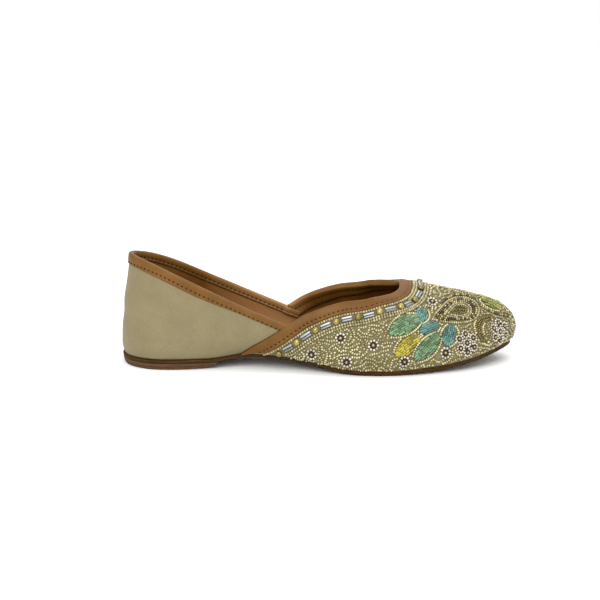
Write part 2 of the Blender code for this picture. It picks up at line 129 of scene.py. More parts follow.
# One row for each rib of the last, from the middle of the heel to the tip of the toe.
# along, top_along: shares of SOLE_LENGTH.
# outer, inner: the sole's half width on each side. top_out: the half width at the top of the rib. swell,
# shoulder: how far the rib is drawn out low down and near its top. All are shares of half of BALL_WIDTH.
# lift, drop: how far those two pulls reach up and down, as shares of the rib's height.
# top_up: share of the way up between the heights of the two ends of the rib's stretch.
# fan: how far the upper pull turns towards the toe.
Rib = namedtuple("Rib", "along outer inner swell lift top_along top_out top_up shoulder drop fan")
RIBS = (
    Rib(0.000, 0.000, 0.000, 0.092, 0.110, 0.0235, 0.000, 1.000, 0.076, 0.400, 0.00),
    Rib(0.020, 0.382, 0.382, 0.094, 0.115, 0.0356, 0.190, 0.985, 0.072, 0.400, 0.00),
    Rib(0.071, 0.618, 0.612, 0.098, 0.135, 0.0749, 0.381, 0.915, 0.064, 0.400, 0.00),
    Rib(0.134, 0.674, 0.660, 0.104, 0.165, 0.1336, 0.520, 0.777, 0.060, 0.400, 0.00),
    Rib(0.223, 0.619, 0.600, 0.138, 0.165, 0.2186, 0.600, 0.544, 0.048, 0.420, 0.00),
    Rib(0.316, 0.536, 0.500, 0.179, 0.165, 0.3117, 0.672, 0.291, 0.040, 0.440, 0.00),
    Rib(0.405, 0.607, 0.540, 0.202, 0.190, 0.4239, 0.707, 0.000, 0.050, 0.380, 0.00),
    Rib(0.486, 0.774, 0.705, 0.202, 0.165, 0.4818, 0.681, 0.383, 0.119, 0.380, 0.00),
    Rib(0.567, 0.936, 0.875, 0.188, 0.155, 0.5587, 0.650, 0.644, 0.200, 0.270, 0.00),
    Rib(0.640, 1.000, 0.980, 0.172, 0.160, 0.6316, 0.605, 0.765, 0.287, 0.199, 0.05),
    Rib(0.696, 0.990, 1.000, 0.167, 0.180, 0.6560, 0.410, 0.896, 0.568, 0.136, 0.12),
    Rib(0.741, 0.957, 0.985, 0.165, 0.200, 0.6780, 0.165, 0.966, 0.757, 0.088, 0.25),
    Rib(0.785, 0.895, 0.935, 0.155, 0.220, 0.7138, 0.000, 1.000, 0.590, 0.038, 0.40),
    Rib(0.850, 0.776, 0.825, 0.155, 0.260, 0.7935, 0.000, 0.741, 0.500, 0.000, 0.40),
    Rib(0.911, 0.595, 0.640, 0.143, 0.330, 0.8623, 0.000, 0.481, 0.405, 0.000, 0.30),
    Rib(0.960, 0.381, 0.410, 0.131, 0.360, 0.9150, 0.000, 0.244, 0.333, 0.000, 0.20),
    Rib(0.990, 0.181, 0.195, 0.128, 0.360, 0.9433, 0.000, 0.067, 0.286, 0.000, 0.10),
    Rib(1.000, 0.000, 0.000, 0.124, 0.350, 0.9534, 0.000, 0.000, 0.262, 0.000, 0.00),
)
NOTCH = 6
THROAT = 12
TIP = len(RIBS) - 1
SLIGHT = 0.02
SLIGHT_STEP = 0.001

Stretch = namedtuple("Stretch", "first last square_start square_end")
WHOLE = Stretch(0, TIP, True, True)
QUARTER = Stretch(0, NOTCH, True, False)
THROAT_SIDE = Stretch(NOTCH, THROAT, False, False)
VAMP = Stretch(NOTCH, TIP, False, True)

# The underside of the outsole: share of SOLE_LENGTH, then shares of LIFT_HEIGHT, ARCH_HEIGHT and TOE_SPRING
Rise = namedtuple("Rise", "along lift arch spring")
UNDERSIDE = (
    Rise(0.00, 1.0, 0.00, 0.00),
    Rise(0.22, 1.0, 0.00, 0.00),
    Rise(0.34, 0.0, 1.00, 0.00),
    Rise(0.45, 0.0, 0.75, 0.00),
    Rise(0.55, 0.0, 0.20, 0.00),
    Rise(0.61, 0.0, 0.00, 0.00),
    Rise(0.68, 0.0, 0.00, 0.00),
    Rise(0.74, 0.0, 0.00, 0.08),
    Rise(0.83, 0.0, 0.00, 0.24),
    Rise(0.91, 0.0, 0.00, 0.53),
    Rise(0.97, 0.0, 0.00, 0.86),
    Rise(1.00, 0.0, 0.00, 1.00),
)
THICKER_FROM = 0.34
THICKER_TO = 0.58
SWING_FROM = 0.55


def hermite(start, end, leaving, arriving, share):
    square, cube = share**2, share**3
    rise = 3 * square - 2 * cube
    pulls = leaving * (cube - 2 * square + share) + arriving * (cube - square)
    return start * (1 - rise) + end * rise + pulls


def along_table(values, row, stretch, odd=False):
    """Smooth curve through the rows of a stretch, which doesn't look past either of its ends."""

    def value(k):
        if k < stretch.first:
            mirrored = -values[k + 2] if odd else values[k + 2]
            return mirrored if stretch.square_start else 2 * values[k + 1] - values[k + 2]
        if k > stretch.last:
            mirrored = -values[k - 2] if odd else values[k - 2]
            return mirrored if stretch.square_end else 2 * values[k - 1] - values[k - 2]
        return values[k]

    k = min(int(row), stretch.last - 1)
    leaving = (value(k + 1) - value(k - 1)) / 2
    arriving = (value(k + 2) - value(k)) / 2
    return hermite(values[k], values[k + 1], leaving, arriving, row - k)


COLUMNS = {name: [getattr(rib, name) for rib in RIBS] for name in Rib._fields}


def column(name, row, stretch=WHOLE):
    return along_table(COLUMNS[name], row, stretch, name in ("outer", "inner", "top_out"))


def rib_height(row):
    """Height over the floor of the top of one of the table's ribs."""
    if row <= NOTCH:
        lower, upper = SIDE_HEIGHT, HEEL_HEIGHT
    elif row <= THROAT:
        lower, upper = SIDE_HEIGHT, INSTEP_HEIGHT
    else:
        lower, upper = TOE_HEIGHT, INSTEP_HEIGHT
    return lower + RIBS[row].top_up * (upper - lower)


RIB_HEIGHTS = [rib_height(k) for k in range(TIP + 1)]


def level_between(knots, values, where):
    """Cubic through the knots that never overshoots, so that what is level between two knots stays flat."""
    where = min(max(where, knots[0]), knots[-1])
    k = max(i for i in range(len(knots) - 1) if knots[i] <= where)
    spans = [b - a for a, b in zip(knots, knots[1:])]
    slopes = [(b - a) / span for a, b, span in zip(values, values[1:], spans)]

    def slope(i):
        before, after = slopes[max(i - 1, 0)], slopes[min(i, len(slopes) - 1)]
        return 2 * before * after / (before + after) if before * after > 0 else 0.0

    share = (where - knots[k]) / spans[k]
    return hermite(values[k], values[k + 1], slope(k) * spans[k], slope(k + 1) * spans[k], share)


def underside(x):
    """Height over the floor of the outsole's lower face, at a distance from the back of the sole."""
    parts = (LIFT_HEIGHT, ARCH_HEIGHT, TOE_SPRING)
    heights = [sum(share * part for share, part in zip(rise[1:], parts)) for rise in UNDERSIDE]
    return level_between([rise.along for rise in UNDERSIDE], heights, x / SOLE_LENGTH)


def sole_top(x):
    """Height over the floor of the outsole's upper face."""
    thickness = level_between(
        (0.0, THICKER_FROM, THICKER_TO, 1.0),
        (WAIST_THICKNESS, WAIST_THICKNESS, FOREPART_THICKNESS, FOREPART_THICKNESS),
        x / SOLE_LENGTH,
    )
    return underside(x) + thickness


def settled(point):
    """A point of the straight last moved to its place: the toe swings inwards, the heel is at the origin."""
    forward = max(0.0, point.x / SOLE_LENGTH - SWING_FROM) / (1 - SWING_FROM)
    return Vector((point.x - HEEL_CENTRE, point.y + TOE_SWING * forward**2, point.z))


def outline(place):
    """Point of the straight last's sole outline at a place."""
    row = abs(place)
    half_width = BALL_WIDTH / 2
    y = column("inner", row) * half_width if place < 0 else -column("outer", row) * half_width
    return Vector((column("along", row) * SOLE_LENGTH, y, 0))


def way_out(place):
    """Level direction that points straight out of the sole's outline."""
    if abs(place) >= TIP:
        return Vector((1, 0, 0))
    run = outline(min(place + SLIGHT, TIP)) - outline(max(place - SLIGHT, -TIP))
    return Vector((run.y, -run.x, 0)).normalized()


def inset_outline(place, inset):
    return outline(place) - way_out(place) * inset


@functools.lru_cache(maxsize=None)
def top_point(place):
    """Top end of the rib at a place: on the collar, inside the throat's opening or on the ridge."""
    row = abs(place)
    stretch = QUARTER if row <= NOTCH else VAMP
    half_width = column("top_out", row, stretch)
    if row > NOTCH:
        half_width = level_between(range(TIP + 1), COLUMNS["top_out"], row)
    side = 1 if place < 0 else -1
    height = along_table(RIB_HEIGHTS, row, stretch)
    top_along = column("top_along", row, stretch)
    return Vector((top_along * SOLE_LENGTH, side * half_width * BALL_WIDTH / 2, height))


def ridge_slope(row):
    """How fast the ridge climbs along X, so that the ribs that end on it meet without a crease."""
    row = min(max(row, THROAT + 2 * SLIGHT), TIP - 2 * SLIGHT)
    run = top_point(row + SLIGHT) - top_point(row - SLIGHT)
    return run.z / run.x


@functools.lru_cache(maxsize=None)
def rib(place):
    """The four control points of a rib of the upper's outer skin, from the sole to the top."""
    row = abs(place)
    out = way_out(place)
    foot = inset_outline(place, FEATHER_INSET)
    foot.z = sole_top(foot.x) + FIT_GAP
    top = top_point(place)
    height = top.z - foot.z
    shoulder = column("shoulder", row) * BALL_WIDTH / 2
    fanned = (out + Vector((column("fan", row), 0, 0))).normalized()
    drop = column("drop", row) * height
    if row > THROAT:
        drop = -ridge_slope(row) * fanned.x * shoulder
    low = foot + out * column("swell", row) * BALL_WIDTH / 2
    low.z += column("lift", row) * height
    high = top + fanned * shoulder
    high.z -= drop
    return foot, low, high, top


def skin(place, share):
    """Point on the upper's outer skin, at a share of the way up the rib."""
    foot, low, high, top = rib(place)
    rest = 1 - share
    return foot * rest**3 + low * (3 * rest**2 * share) + high * (3 * rest * share**2) + top * share**3


HALVINGS = 26


def narrowed(last, reached):
    """The values, between 0 and last, just before and just after the one from which reached(value) holds."""
    low, high = 0.0, float(last)
    for _ in range(HALVINGS):
        middle = (low + high) / 2
        if reached(middle):
            high = middle
        else:
            low = middle
    return low, high


def share_where(place, reached):
    """Lowest share of the rib at which reached(point) holds, or 1 where it never does."""
    return narrowed(1, lambda share: reached(skin(place, share)))[1]


def above_wing(point):
    """Distance of a point above the edge of the vamp's wing, seen from the side."""
    notch = top_point(NOTCH)
    tip = Vector((notch.x - WING_REACH, 0, sole_top(notch.x - WING_REACH)))
    run = notch - tip
    return ((point.z - tip.z) * run.x - (point.x - tip.x) * run.z) / math.hypot(run.x, run.z)


def inside_throat(point):
    """Whether a point lies in the throat's opening: straight sides and a rounded front, seen from above."""
    notch, front = top_point(NOTCH), top_point(THROAT)
    if point.z < notch.z - FIT_GAP:
        return False
    back_x = front.x - THROAT_ROUND
    half_width = THROAT_WIDTH / 2
    if point.x < back_x:
        share = (back_x - point.x) / (back_x - notch.x)
        return abs(point.y) < half_width + share * (abs(notch.y) - half_width)
    along, across = (point.x - back_x) / THROAT_ROUND, abs(point.y) / half_width
    return along**THROAT_SQUARENESS + across**THROAT_SQUARENESS < 1


@functools.lru_cache(maxsize=None)
def throat_share(place):
    """Share of the rib at which the upper ends: the collar, the throat's edge or the ridge."""
    if NOTCH < abs(place) < THROAT:
        return share_where(place, inside_throat)
    return 1.0


@functools.lru_cache(maxsize=None)
def edge_share(place):
    """Share of the rib at which the vamp ends: as the upper, but for the slanted edge of the wing."""
    if abs(place) < NOTCH:
        return share_where(place, lambda point: above_wing(point) > 0)
    return throat_share(place)


def collar_edge(place):
    return settled(top_point(place))


def vamp_edge(place):
    return settled(skin(place, edge_share(place)))


def over_sole(place):
    """Height of the vamp's edge over the foot of its rib."""
    return vamp_edge(place).z - settled(rib(place)[0]).z


def first_row(side, reached):
    """Row between the middle of the heel and the notch from which reached(place) holds, on one side."""
    return side * narrowed(NOTCH, lambda row: reached(side * row))[1]


WING_START_HEIGHT = 0.0005


def wing_tip(side):
    """Place where the wing starts, a little over the sole."""
    return first_row(side, lambda place: over_sole(place) > WING_START_HEIGHT)


# Meshes

MERGED = 0.00002
TOUCHING = 0.000001


def mapped_grid(us, vs, point_at):
    """A grid with a line for each value, whose points lie where point_at(u, v) says."""
    bm = bmesh.new()
    bmesh.ops.create_grid(bm, x_segments=len(us) - 1, y_segments=len(vs) - 1, size=0.5)
    for vert in bm.verts:
        u = us[round((vert.co.x + 0.5) * (len(us) - 1))]
        v = vs[round((vert.co.y + 0.5) * (len(vs) - 1))]
        vert.co = point_at(u, v)
    bm.normal_update()
    return bm


def spread(first, last, count):
    """Values from first to last at even steps, that many of them."""
    return [first + (last - first) * k / count for k in range(count + 1)]


def new_piece(name, bm, slot, *finishes, sharp=50):
    mesh = bpy.data.meshes.new(name)
    bm.to_mesh(mesh)
    bm.free()
    mesh.shade_smooth()
    mesh.set_sharp_from_angle(angle=math.radians(sharp))
    return placed(name, mesh, slot, *finishes)


def in_scene(name, data):
    made = bpy.data.objects.new(name, data)
    bpy.context.scene.collection.objects.link(made)
    return made


def placed(name, mesh, slot, *finishes):
    piece = in_scene(name, mesh)
    for finish in finishes:
        mesh.materials.append(finish)
    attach(piece, "root")
    return piece


def add_wall(piece, thickness, offset):
    """Gives a sheet its thickness: inwards at an offset of -1, outwards at 1."""
    wall = piece.modifiers.new("wall", "SOLIDIFY")
    wall.thickness = thickness
    wall.offset = offset
    wall.use_even_offset = True
    return wall


def closed_strip(name, loops, slot, *finishes, sharp=50):
    """A closed body through its loops, with each end closed."""
    count = len(loops[0])
    bm = mapped_grid(range(len(loops)), range(count + 1), lambda u, v: loops[u][v % count])
    bmesh.ops.remove_doubles(bm, verts=bm.verts, dist=TOUCHING)
    rim = [edge for edge in bm.edges if edge.is_boundary]
    if rim:
        bmesh.ops.holes_fill(bm, edges=rim, sides=0)
    bmesh.ops.recalc_face_normals(bm, faces=bm.faces)
    return new_piece(name, bm, slot, *finishes, sharp=sharp)


def tree_of(bm):
    tree = BVHTree.FromBMesh(bm)
    bm.free()
    return tree


# Finishes

COAT_ROUGHNESS = 0.06


def feed(tree, socket, value):
    """Links another node's output into a socket, or sets the socket to a plain value."""
    if isinstance(value, bpy.types.NodeSocket):
        tree.links.new(value, socket)
    else:
        socket.default_value = value


def node(tree, kind, **settings):
    """A new node. Each setting is a property of the node or, by its written name, a socket."""
    made = tree.nodes.new(kind)
    for name, value in settings.items():
        if hasattr(made, name):
            setattr(made, name, value)
        else:
            feed(tree, made.inputs[name.replace("_", " ")], value)
    return made


def new_finish(name, roughness, metallic=0.0, coat=0.0, sheen=0.0, specular=0.5):
    finish = bpy.data.materials.new(name)
    finish.use_nodes = True
    shader = finish.node_tree.nodes["Principled BSDF"]
    shader.inputs["Roughness"].default_value = roughness
    shader.inputs["Metallic"].default_value = metallic
    shader.inputs["Coat Weight"].default_value = coat
    shader.inputs["Coat Roughness"].default_value = COAT_ROUGHNESS
    shader.inputs["Sheen Weight"].default_value = sheen
    shader.inputs["Specular IOR Level"].default_value = specular
    return finish, finish.node_tree, shader


def noise_of(tree, size, detail=4.0, roughness=0.55, stretch=(1, 1, 1)):
    """Noise over the piece itself, with bumps of about that size."""
    coords = node(tree, "ShaderNodeTexCoord")
    mapping = node(tree, "ShaderNodeMapping", Vector=coords.outputs["Object"], Scale=stretch)
    bumps = {"Scale": 1 / size, "Detail": detail, "Roughness": roughness}
    noise = node(tree, "ShaderNodeTexNoise", Vector=mapping.outputs["Vector"], **bumps)
    return noise.outputs["Fac"]


def ramp_of(tree, fac, *stops):
    """Colours along a value, as pairs of position and colour."""
    ramp = node(tree, "ShaderNodeValToRGB", Fac=fac)
    elements = ramp.color_ramp.elements
    while len(elements) < len(stops):
        elements.new(0.5)
    for element, (position, colour) in zip(elements, stops):
        element.position = position
        element.color = (*colour, 1.0)
    return ramp.outputs["Color"]


def mix_of(tree, fac, first, second, blend="MIX"):
    """Two colours mixed, each the output of a node or three plain parts."""
    mix = node(tree, "ShaderNodeMix", data_type="RGBA", blend_type=blend)
    feed(tree, mix.inputs[0], fac)
    for socket, colour in ((mix.inputs[6], first), (mix.inputs[7], second)):
        feed(tree, socket, (*colour, 1.0) if isinstance(colour, tuple) else colour)
    return mix.outputs[2]


def math_of(tree, operation, *values):
    made = node(tree, "ShaderNodeMath", operation=operation)
    for socket, value in zip(made.inputs, values):
        feed(tree, socket, value)
    return made.outputs[0]


def add_bump(tree, shader, height, distance):
    """Bump of that real depth, on top of any bump the shader already has."""
    bump = node(tree, "ShaderNodeBump", Height=height, Distance=distance, Strength=1.0)
    before = shader.inputs["Normal"].links
    if before:
        tree.links.new(before[0].from_socket, bump.inputs["Normal"])
    tree.links.new(bump.outputs["Normal"], shader.inputs["Normal"])


# Painted light on the leather inside the shoe, along X: where it starts, is full, ends being full, and
# stops. The paler colour stands in for light falling in through the notch
LIT_INSIDE_SPAN = (0.030, 0.068, 0.086, 0.100)
LIT_INSIDE_SHARE = 0.85
# Leather: the sizes of its clouds of shade, of its patches of gloss and of its soft waves, and its grain
CLOUD = 0.018
GLOSS_PATCH = 0.006
SOFT_WAVE = 0.009
GRAIN_DEPTH = 0.00004


def painted_light_inside(tree):
    """How strongly painted light makes the leather paler: most on the side turned inward, just behind the
    notch.
    """
    coords = node(tree, "ShaderNodeTexCoord")
    place = node(tree, "ShaderNodeSeparateXYZ", Vector=coords.outputs["Object"])
    facing = node(tree, "ShaderNodeSeparateXYZ", Vector=coords.outputs["Normal"])
    along = node(tree, "ShaderNodeMapRange", Value=place.outputs["X"], From_Min=LIT_INSIDE_SPAN[0], From_Max=LIT_INSIDE_SPAN[-1])
    shares = [(x - LIT_INSIDE_SPAN[0]) / (LIT_INSIDE_SPAN[-1] - LIT_INSIDE_SPAN[0]) for x in LIT_INSIDE_SPAN]
    grey = zip(shares, (0.0, LIT_INSIDE_SHARE, LIT_INSIDE_SHARE, 0.0))
    pale = ramp_of(tree, along.outputs["Result"], *((share, (value,) * 3) for share, value in grey))
    outward = math_of(tree, "MULTIPLY", place.outputs["Y"], facing.outputs["Y"])
    return math_of(tree, "MULTIPLY", pale, math_of(tree, "LESS_THAN", outward, 0.0))


def leather(name, light, middle, dark, roughness, grain=0.0007, painted_light=None):
    """Leather with a soft cloud of shades, a fine grain, small changes of gloss and, where a colour is
    given, painted light inside by the notch.
    """
    finish, tree, shader = new_finish(name, roughness, specular=0.18)
    shades = ramp_of(tree, noise_of(tree, CLOUD, 5.0, 0.6), (0.30, dark), (0.52, middle), (0.74, light))
    # Painted light: the inside just behind the notch is mixed towards a paler colour, as if lit through the
    # opening.
    if painted_light:
        shades = mix_of(tree, painted_light_inside(tree), shades, painted_light)
    pores = ramp_of(tree, noise_of(tree, grain, 3.0), (0.35, (0.86,) * 3), (0.6, (1.0,) * 3))
    tree.links.new(mix_of(tree, 1.0, shades, pores, "MULTIPLY"), shader.inputs["Base Color"])
    gloss_range = {"To_Min": roughness - 0.08, "To_Max": roughness + 0.10}
    gloss = node(tree, "ShaderNodeMapRange", Value=noise_of(tree, GLOSS_PATCH, 4.0), **gloss_range)
    tree.links.new(gloss.outputs["Result"], shader.inputs["Roughness"])
    add_bump(tree, shader, noise_of(tree, grain, 5.0, 0.6), GRAIN_DEPTH)
    add_bump(tree, shader, noise_of(tree, SOFT_WAVE, 2.0), GRAIN_DEPTH * 3)
    return finish


def sole_finish(name, light, middle, dark):
    """Burnished leather edge with layers that run along it, and a few pale specks."""
    finish, tree, shader = new_finish(name, 0.62, specular=0.08)
    speck = tuple(2.2 * part for part in light)
    layers = noise_of(tree, 0.006, 6.0, 0.65, (1.0, 1.0, 9.0))
    shades = ramp_of(tree, layers, (0.32, dark), (0.5, middle), (0.72, light))
    specks = ramp_of(tree, noise_of(tree, 0.0022, 2.0, 0.5), (0.71, (0.0,) * 3), (0.76, (1.0,) * 3))
    tree.links.new(mix_of(tree, specks, shades, speck), shader.inputs["Base Color"])
    add_bump(tree, shader, layers, 0.00018)
    add_bump(tree, shader, noise_of(tree, 0.0008, 5.0), 0.00010)
    return finish


def bead_finish(name, dark, light, roughness, metallic=0.0, coat=0.5, specular=0.6):
    """Beads that each have their own shade between two, from the mesh's tint."""
    finish, tree, shader = new_finish(name, roughness, metallic, coat, specular=specular)
    tint = node(tree, "ShaderNodeAttribute", attribute_name="tint")
    shades = ramp_of(tree, tint.outputs["Fac"], (0.0, dark), (1.0, light))
    tree.links.new(shades, shader.inputs["Base Color"])
    return finish


def cloth_finish(name, light, middle, dark):
    """Woven cloth with a soft cloud of shades and a fine roughness."""
    finish, tree, shader = new_finish(name, 0.8, sheen=0.15)
    shades = ramp_of(tree, noise_of(tree, 0.004, 4.0), (0.3, dark), (0.5, middle), (0.7, light))
    tree.links.new(shades, shader.inputs["Base Color"])
    add_bump(tree, shader, noise_of(tree, 0.0005, 3.0), 0.00012)
    return finish


def plain_finish(name, colour, roughness):
    finish, _, shader = new_finish(name, roughness, specular=0.2)
    shader.inputs["Base Color"].default_value = (*colour, 1)
    return finish


CREAM = leather("cream_leather", (0.226, 0.190, 0.104), (0.209, 0.174, 0.092), (0.190, 0.157, 0.081), 0.50)
# Paler colours of painted light for the tan and the lining inside the shoe behind the notch
PAINTED_LIGHT_TAN = (0.335, 0.175, 0.062)
PAINTED_LIGHT_LINING = (0.340, 0.165, 0.056)
TAN_SHADES = ((0.182, 0.083, 0.016), (0.148, 0.064, 0.009), (0.110, 0.045, 0.005))
LINING_SHADES = ((0.215, 0.088, 0.014), (0.175, 0.068, 0.008), (0.135, 0.050, 0.005))
TAN = leather("tan_leather", *TAN_SHADES, 0.40, 0.0006, PAINTED_LIGHT_TAN)
LINING = leather("tan_lining", *LINING_SHADES, 0.50, painted_light=PAINTED_LIGHT_LINING)
SOCK = leather("sock_leather", (0.150, 0.058, 0.010), (0.115, 0.043, 0.007), (0.080, 0.030, 0.005), 0.55)
SOLE = sole_finish("sole_leather", (0.078, 0.041, 0.012), (0.046, 0.023, 0.005), (0.023, 0.010, 0.002))
HEEL = sole_finish("heel_leather", (0.135, 0.076, 0.040), (0.098, 0.053, 0.027), (0.060, 0.031, 0.015))
HOLE = plain_finish("stitch_hole_shade", (0.016, 0.006, 0.002), 0.9)
# The dark raw edge of the leather, and painted shade of the narrow gap beside it.
RAW_EDGE_AND_GAP_SHADE = plain_finish("raw_edge_and_gap_shade", (0.030, 0.012, 0.004), 0.7)
CLOTH = cloth_finish("olive_cloth", (0.195, 0.168, 0.068), (0.152, 0.130, 0.048), (0.105, 0.090, 0.031))
PEARL = bead_finish("ivory_beads", (0.22, 0.185, 0.075), (0.66, 0.59, 0.34), 0.16)
WHITE = bead_finish("white_beads", (0.30, 0.26, 0.22), (0.64, 0.58, 0.52), 0.12, 0.1)
GOLD = bead_finish("gold_beads", (0.22, 0.16, 0.035), (0.50, 0.38, 0.11), 0.20, 0.6, 0.3)
ROUND_GOLD = bead_finish("gold_rounds", (0.14, 0.105, 0.018), (0.46, 0.35, 0.09), 0.14, 0.7, 0.4)
# Silver bugles from a dark to a light tint; the two bugles of a link take a darker and a lighter one as
# painted reflection.
SILVER = bead_finish("silver_bugles", (0.10, 0.11, 0.11), (0.58, 0.59, 0.57), 0.14, 0.75, 0.5)
ANTIQUE = bead_finish("antique_beads", (0.012, 0.009, 0.003), (0.52, 0.42, 0.17), 0.20, 0.5)
OLIVE = bead_finish("olive_gold_beads", (0.07, 0.048, 0.008), (0.26, 0.19, 0.04), 0.20, 0.4)
MINT = bead_finish("mint_bugles", (0.030, 0.080, 0.030), (0.17, 0.29, 0.13), 0.12, 0.0, 0.6, 0.4)
TEAL = bead_finish("teal_bugles", (0.010, 0.060, 0.052), (0.095, 0.235, 0.185), 0.12, 0.0, 0.6, 0.4)
LIME = bead_finish("lime_bugles", (0.080, 0.090, 0.006), (0.30, 0.31, 0.05), 0.14, 0.0, 0.6, 0.4)
YELLOW = bead_finish("yellow_bugles", (0.125, 0.098, 0.001), (0.42, 0.345, 0.004), 0.12, 0.0, 0.6, 0.4)
DARK = plain_finish("dark_ground", (0.030, 0.022, 0.012), 0.6)

# The skin as nets, on which the nearest point to any other is looked up

ROW_STEPS = 10
RIB_STEPS = 44
rib_shares = spread(0.0, 1.0, RIB_STEPS)
net_places = spread(-TIP, TIP, 2 * TIP * ROW_STEPS)
skin_net = tree_of(mapped_grid(net_places, rib_shares, lambda place, share: settled(skin(place, share))))
vamp_start, vamp_end = wing_tip(1), wing_tip(-1)


def vamp_places(first, last, per_row):
    return spread(first, last, max(2, round(abs(last - first) * per_row)))


def on_vamp(place, share):
    """Point of the vamp: share 0 at the sole, 1 at the throat, the wing's edge or the ridge."""
    return settled(skin(place, edge_share(place) * share))


def vamp_sheet(per_row, steps):
    """The vamp's skin in one sheet, its two halves joined along the ridge."""
    bm = mapped_grid(vamp_places(vamp_start, TIP, per_row), spread(0.0, 1.0, steps), on_vamp)
    inner = mapped_grid(vamp_places(-TIP, vamp_end, per_row), spread(0.0, 1.0, steps), on_vamp)
    spare = bpy.data.meshes.new("inner_half")
    inner.to_mesh(spare)
    inner.free()
    bm.from_mesh(spare)
    bpy.data.meshes.remove(spare)
    bmesh.ops.remove_doubles(bm, verts=bm.verts, dist=MERGED)
    bm.normal_update()
    return bm


vamp_net = tree_of(vamp_sheet(ROW_STEPS, RIB_STEPS))


# Leathers

UPPER_ROW_STEPS = 8
UPPER_RIB_STEPS = 28
CLOTH_ROW_STEPS = 7
CLOTH_RIB_STEPS = 26
# The shares of a rib between which the quarter is dented, and over how much of it the dents fade
DENTED_FROM = 0.05
DENTED_TO = 0.90
DENT_FADE = 0.15


def make_upper():
    """The hollow upper: cream leather outside, tan lining inside, with soft dents in the quarter."""

    def point_at(place, share):
        share *= throat_share(place)
        point = settled(skin(place, share))
        if abs(place) < NOTCH and DENTED_FROM < share < DENTED_TO:
            point += skin_net.find_nearest(point)[1] * dent(point, share)
        return point

    places = spread(-TIP, TIP, 2 * TIP * UPPER_ROW_STEPS)
    bm = mapped_grid(places, spread(0.0, 1.0, UPPER_RIB_STEPS), point_at)
    bmesh.ops.remove_doubles(bm, verts=bm.verts, dist=MERGED)
    piece = new_piece("upper_leather", bm, "quarter_leather", CREAM, LINING)
    wall = add_wall(piece, UPPER_WALL, -1)
    wall.material_offset = 1
    wall.material_offset_rim = 1
    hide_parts("upper")


# Soft troughs and ridges of the quarter: where along X and Z, how far they reach and how high they stand
Dent = namedtuple("Dent", "x z reach_x reach_z height")
DENTS = (
    Dent(-0.016, 0.042, 0.020, 0.006, 0.00045),
    Dent(-0.012, 0.032, 0.030, 0.005, -0.00040),
    Dent(0.000, 0.0115, 0.020, 0.0022, 0.00045),
    Dent(0.004, 0.0175, 0.022, 0.0030, -0.00030),
    Dent(0.040, 0.030, 0.016, 0.010, -0.00040),
    Dent(0.060, 0.020, 0.012, 0.006, 0.00040),
)


def dent(point, share):
    """How far the soft dents move the quarter's leather, fading at its edges."""
    fade = min(1.0, (share - DENTED_FROM) / DENT_FADE, (DENTED_TO - share) / DENT_FADE)
    total = 0.0
    for each in DENTS:
        reach = ((point.x - each.x) / each.reach_x) ** 2 + ((point.z - each.z) / each.reach_z) ** 2
        total += each.height * math.exp(-reach)
    return total * fade


def make_cloth():
    """The cloth under the beads, laid on the upper."""
    bm = vamp_sheet(CLOTH_ROW_STEPS, CLOTH_RIB_STEPS)
    for vert in bm.verts:
        vert.co += vert.normal * (CLOTH_TOP - CLOTH_THICKNESS)
    piece = new_piece("vamp_cloth", bm, "beaded_cloth", CLOTH)
    add_wall(piece, CLOTH_THICKNESS, 1)
    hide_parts("vamp_cover")


def run_of(edge_at, place, stretch):
    """Direction of an edge at a place, by points of the same stretch. It runs level across the middle."""
    row, side = abs(place), -1 if place < 0 else 1
    if row in (0, THROAT):
        return Vector((0, -1 if row == 0 else 1, 0))
    ends = sorted((side * max(row - SLIGHT, stretch.first), side * min(row + SLIGHT, stretch.last)))
    return (edge_at(ends[1]) - edge_at(ends[0])).normalized()


Edge = namedtuple("Edge", "point down out")


def edge_frame(edge_at, place, stretch):
    """The edge of the leather at a place: its point, the way down from it and the way out."""
    point = edge_at(place)
    out = skin_net.find_nearest(point)[1]
    return Edge(point, run_of(edge_at, place, stretch).cross(out).normalized(), out)


def off_edge(edge, depth, height):
    """Point at a depth below an edge and a height over the skin."""
    point, normal = edge.point + edge.down * depth, edge.out
    if depth > 0:
        point, normal = skin_net.find_nearest(point)[:2]
    return point + normal * height


def loop_off(edge, section):
    """A section's pairs of depth and height as points off an edge."""
    return [off_edge(edge, depth, height) for depth, height in section]


def distances_along(points):
    """How far along a line each of its points lies."""
    return np.concatenate([[0], np.cumsum([(b - a).length for a, b in zip(points, points[1:])])])


def even_run(places, point_of, step):
    """Places at even distances along a line, each with its distance from the first."""
    distances = distances_along([point_of(place) for place in places])
    count = max(2, round(distances[-1] / step))
    wanted = np.linspace(0, distances[-1], count + 1)
    return list(zip(np.interp(wanted, distances, places), wanted))


# A flap's width, the height of the face it lies on, and how far down it is cut off and is stitched
Flap = namedtuple("Flap", "width face cut stitched")
WHOLE_FLAP = 1.0
OUTWARD, INWARD = 1, -1


def flap_section(flap, wave, way):
    """One side of a strip, from its lower edge to the fold: puckered lip, stitched groove, then face."""
    width, face, cut, stitched = flap
    lip, groove = -0.00014 * wave, 0.00026 * wave
    inset = width - stitched
    shape = (
        (width, 0.00005),
        (width - 0.10 * inset, 0.00046 + lip),
        (width - 0.34 * inset, 0.00070 + lip),
        (width - 0.55 * inset, 0.00064 + lip / 2),
        (width - 0.80 * inset, 0.00054 - groove / 2),
        (stitched, 0.00046 - groove),
        (stitched - 0.0003, 0.00058 - groove / 2),
        (stitched * 0.76, 0.00080),
        (stitched * 0.52, 0.00088),
        (stitched * 0.28, 0.00092),
        (0.0004, 0.00090),
    )
    return [(min(depth, cut), face + way * height) for depth, height in shape]


FOLD_POINTS = 9
FOLD_ROUNDNESS = 0.8


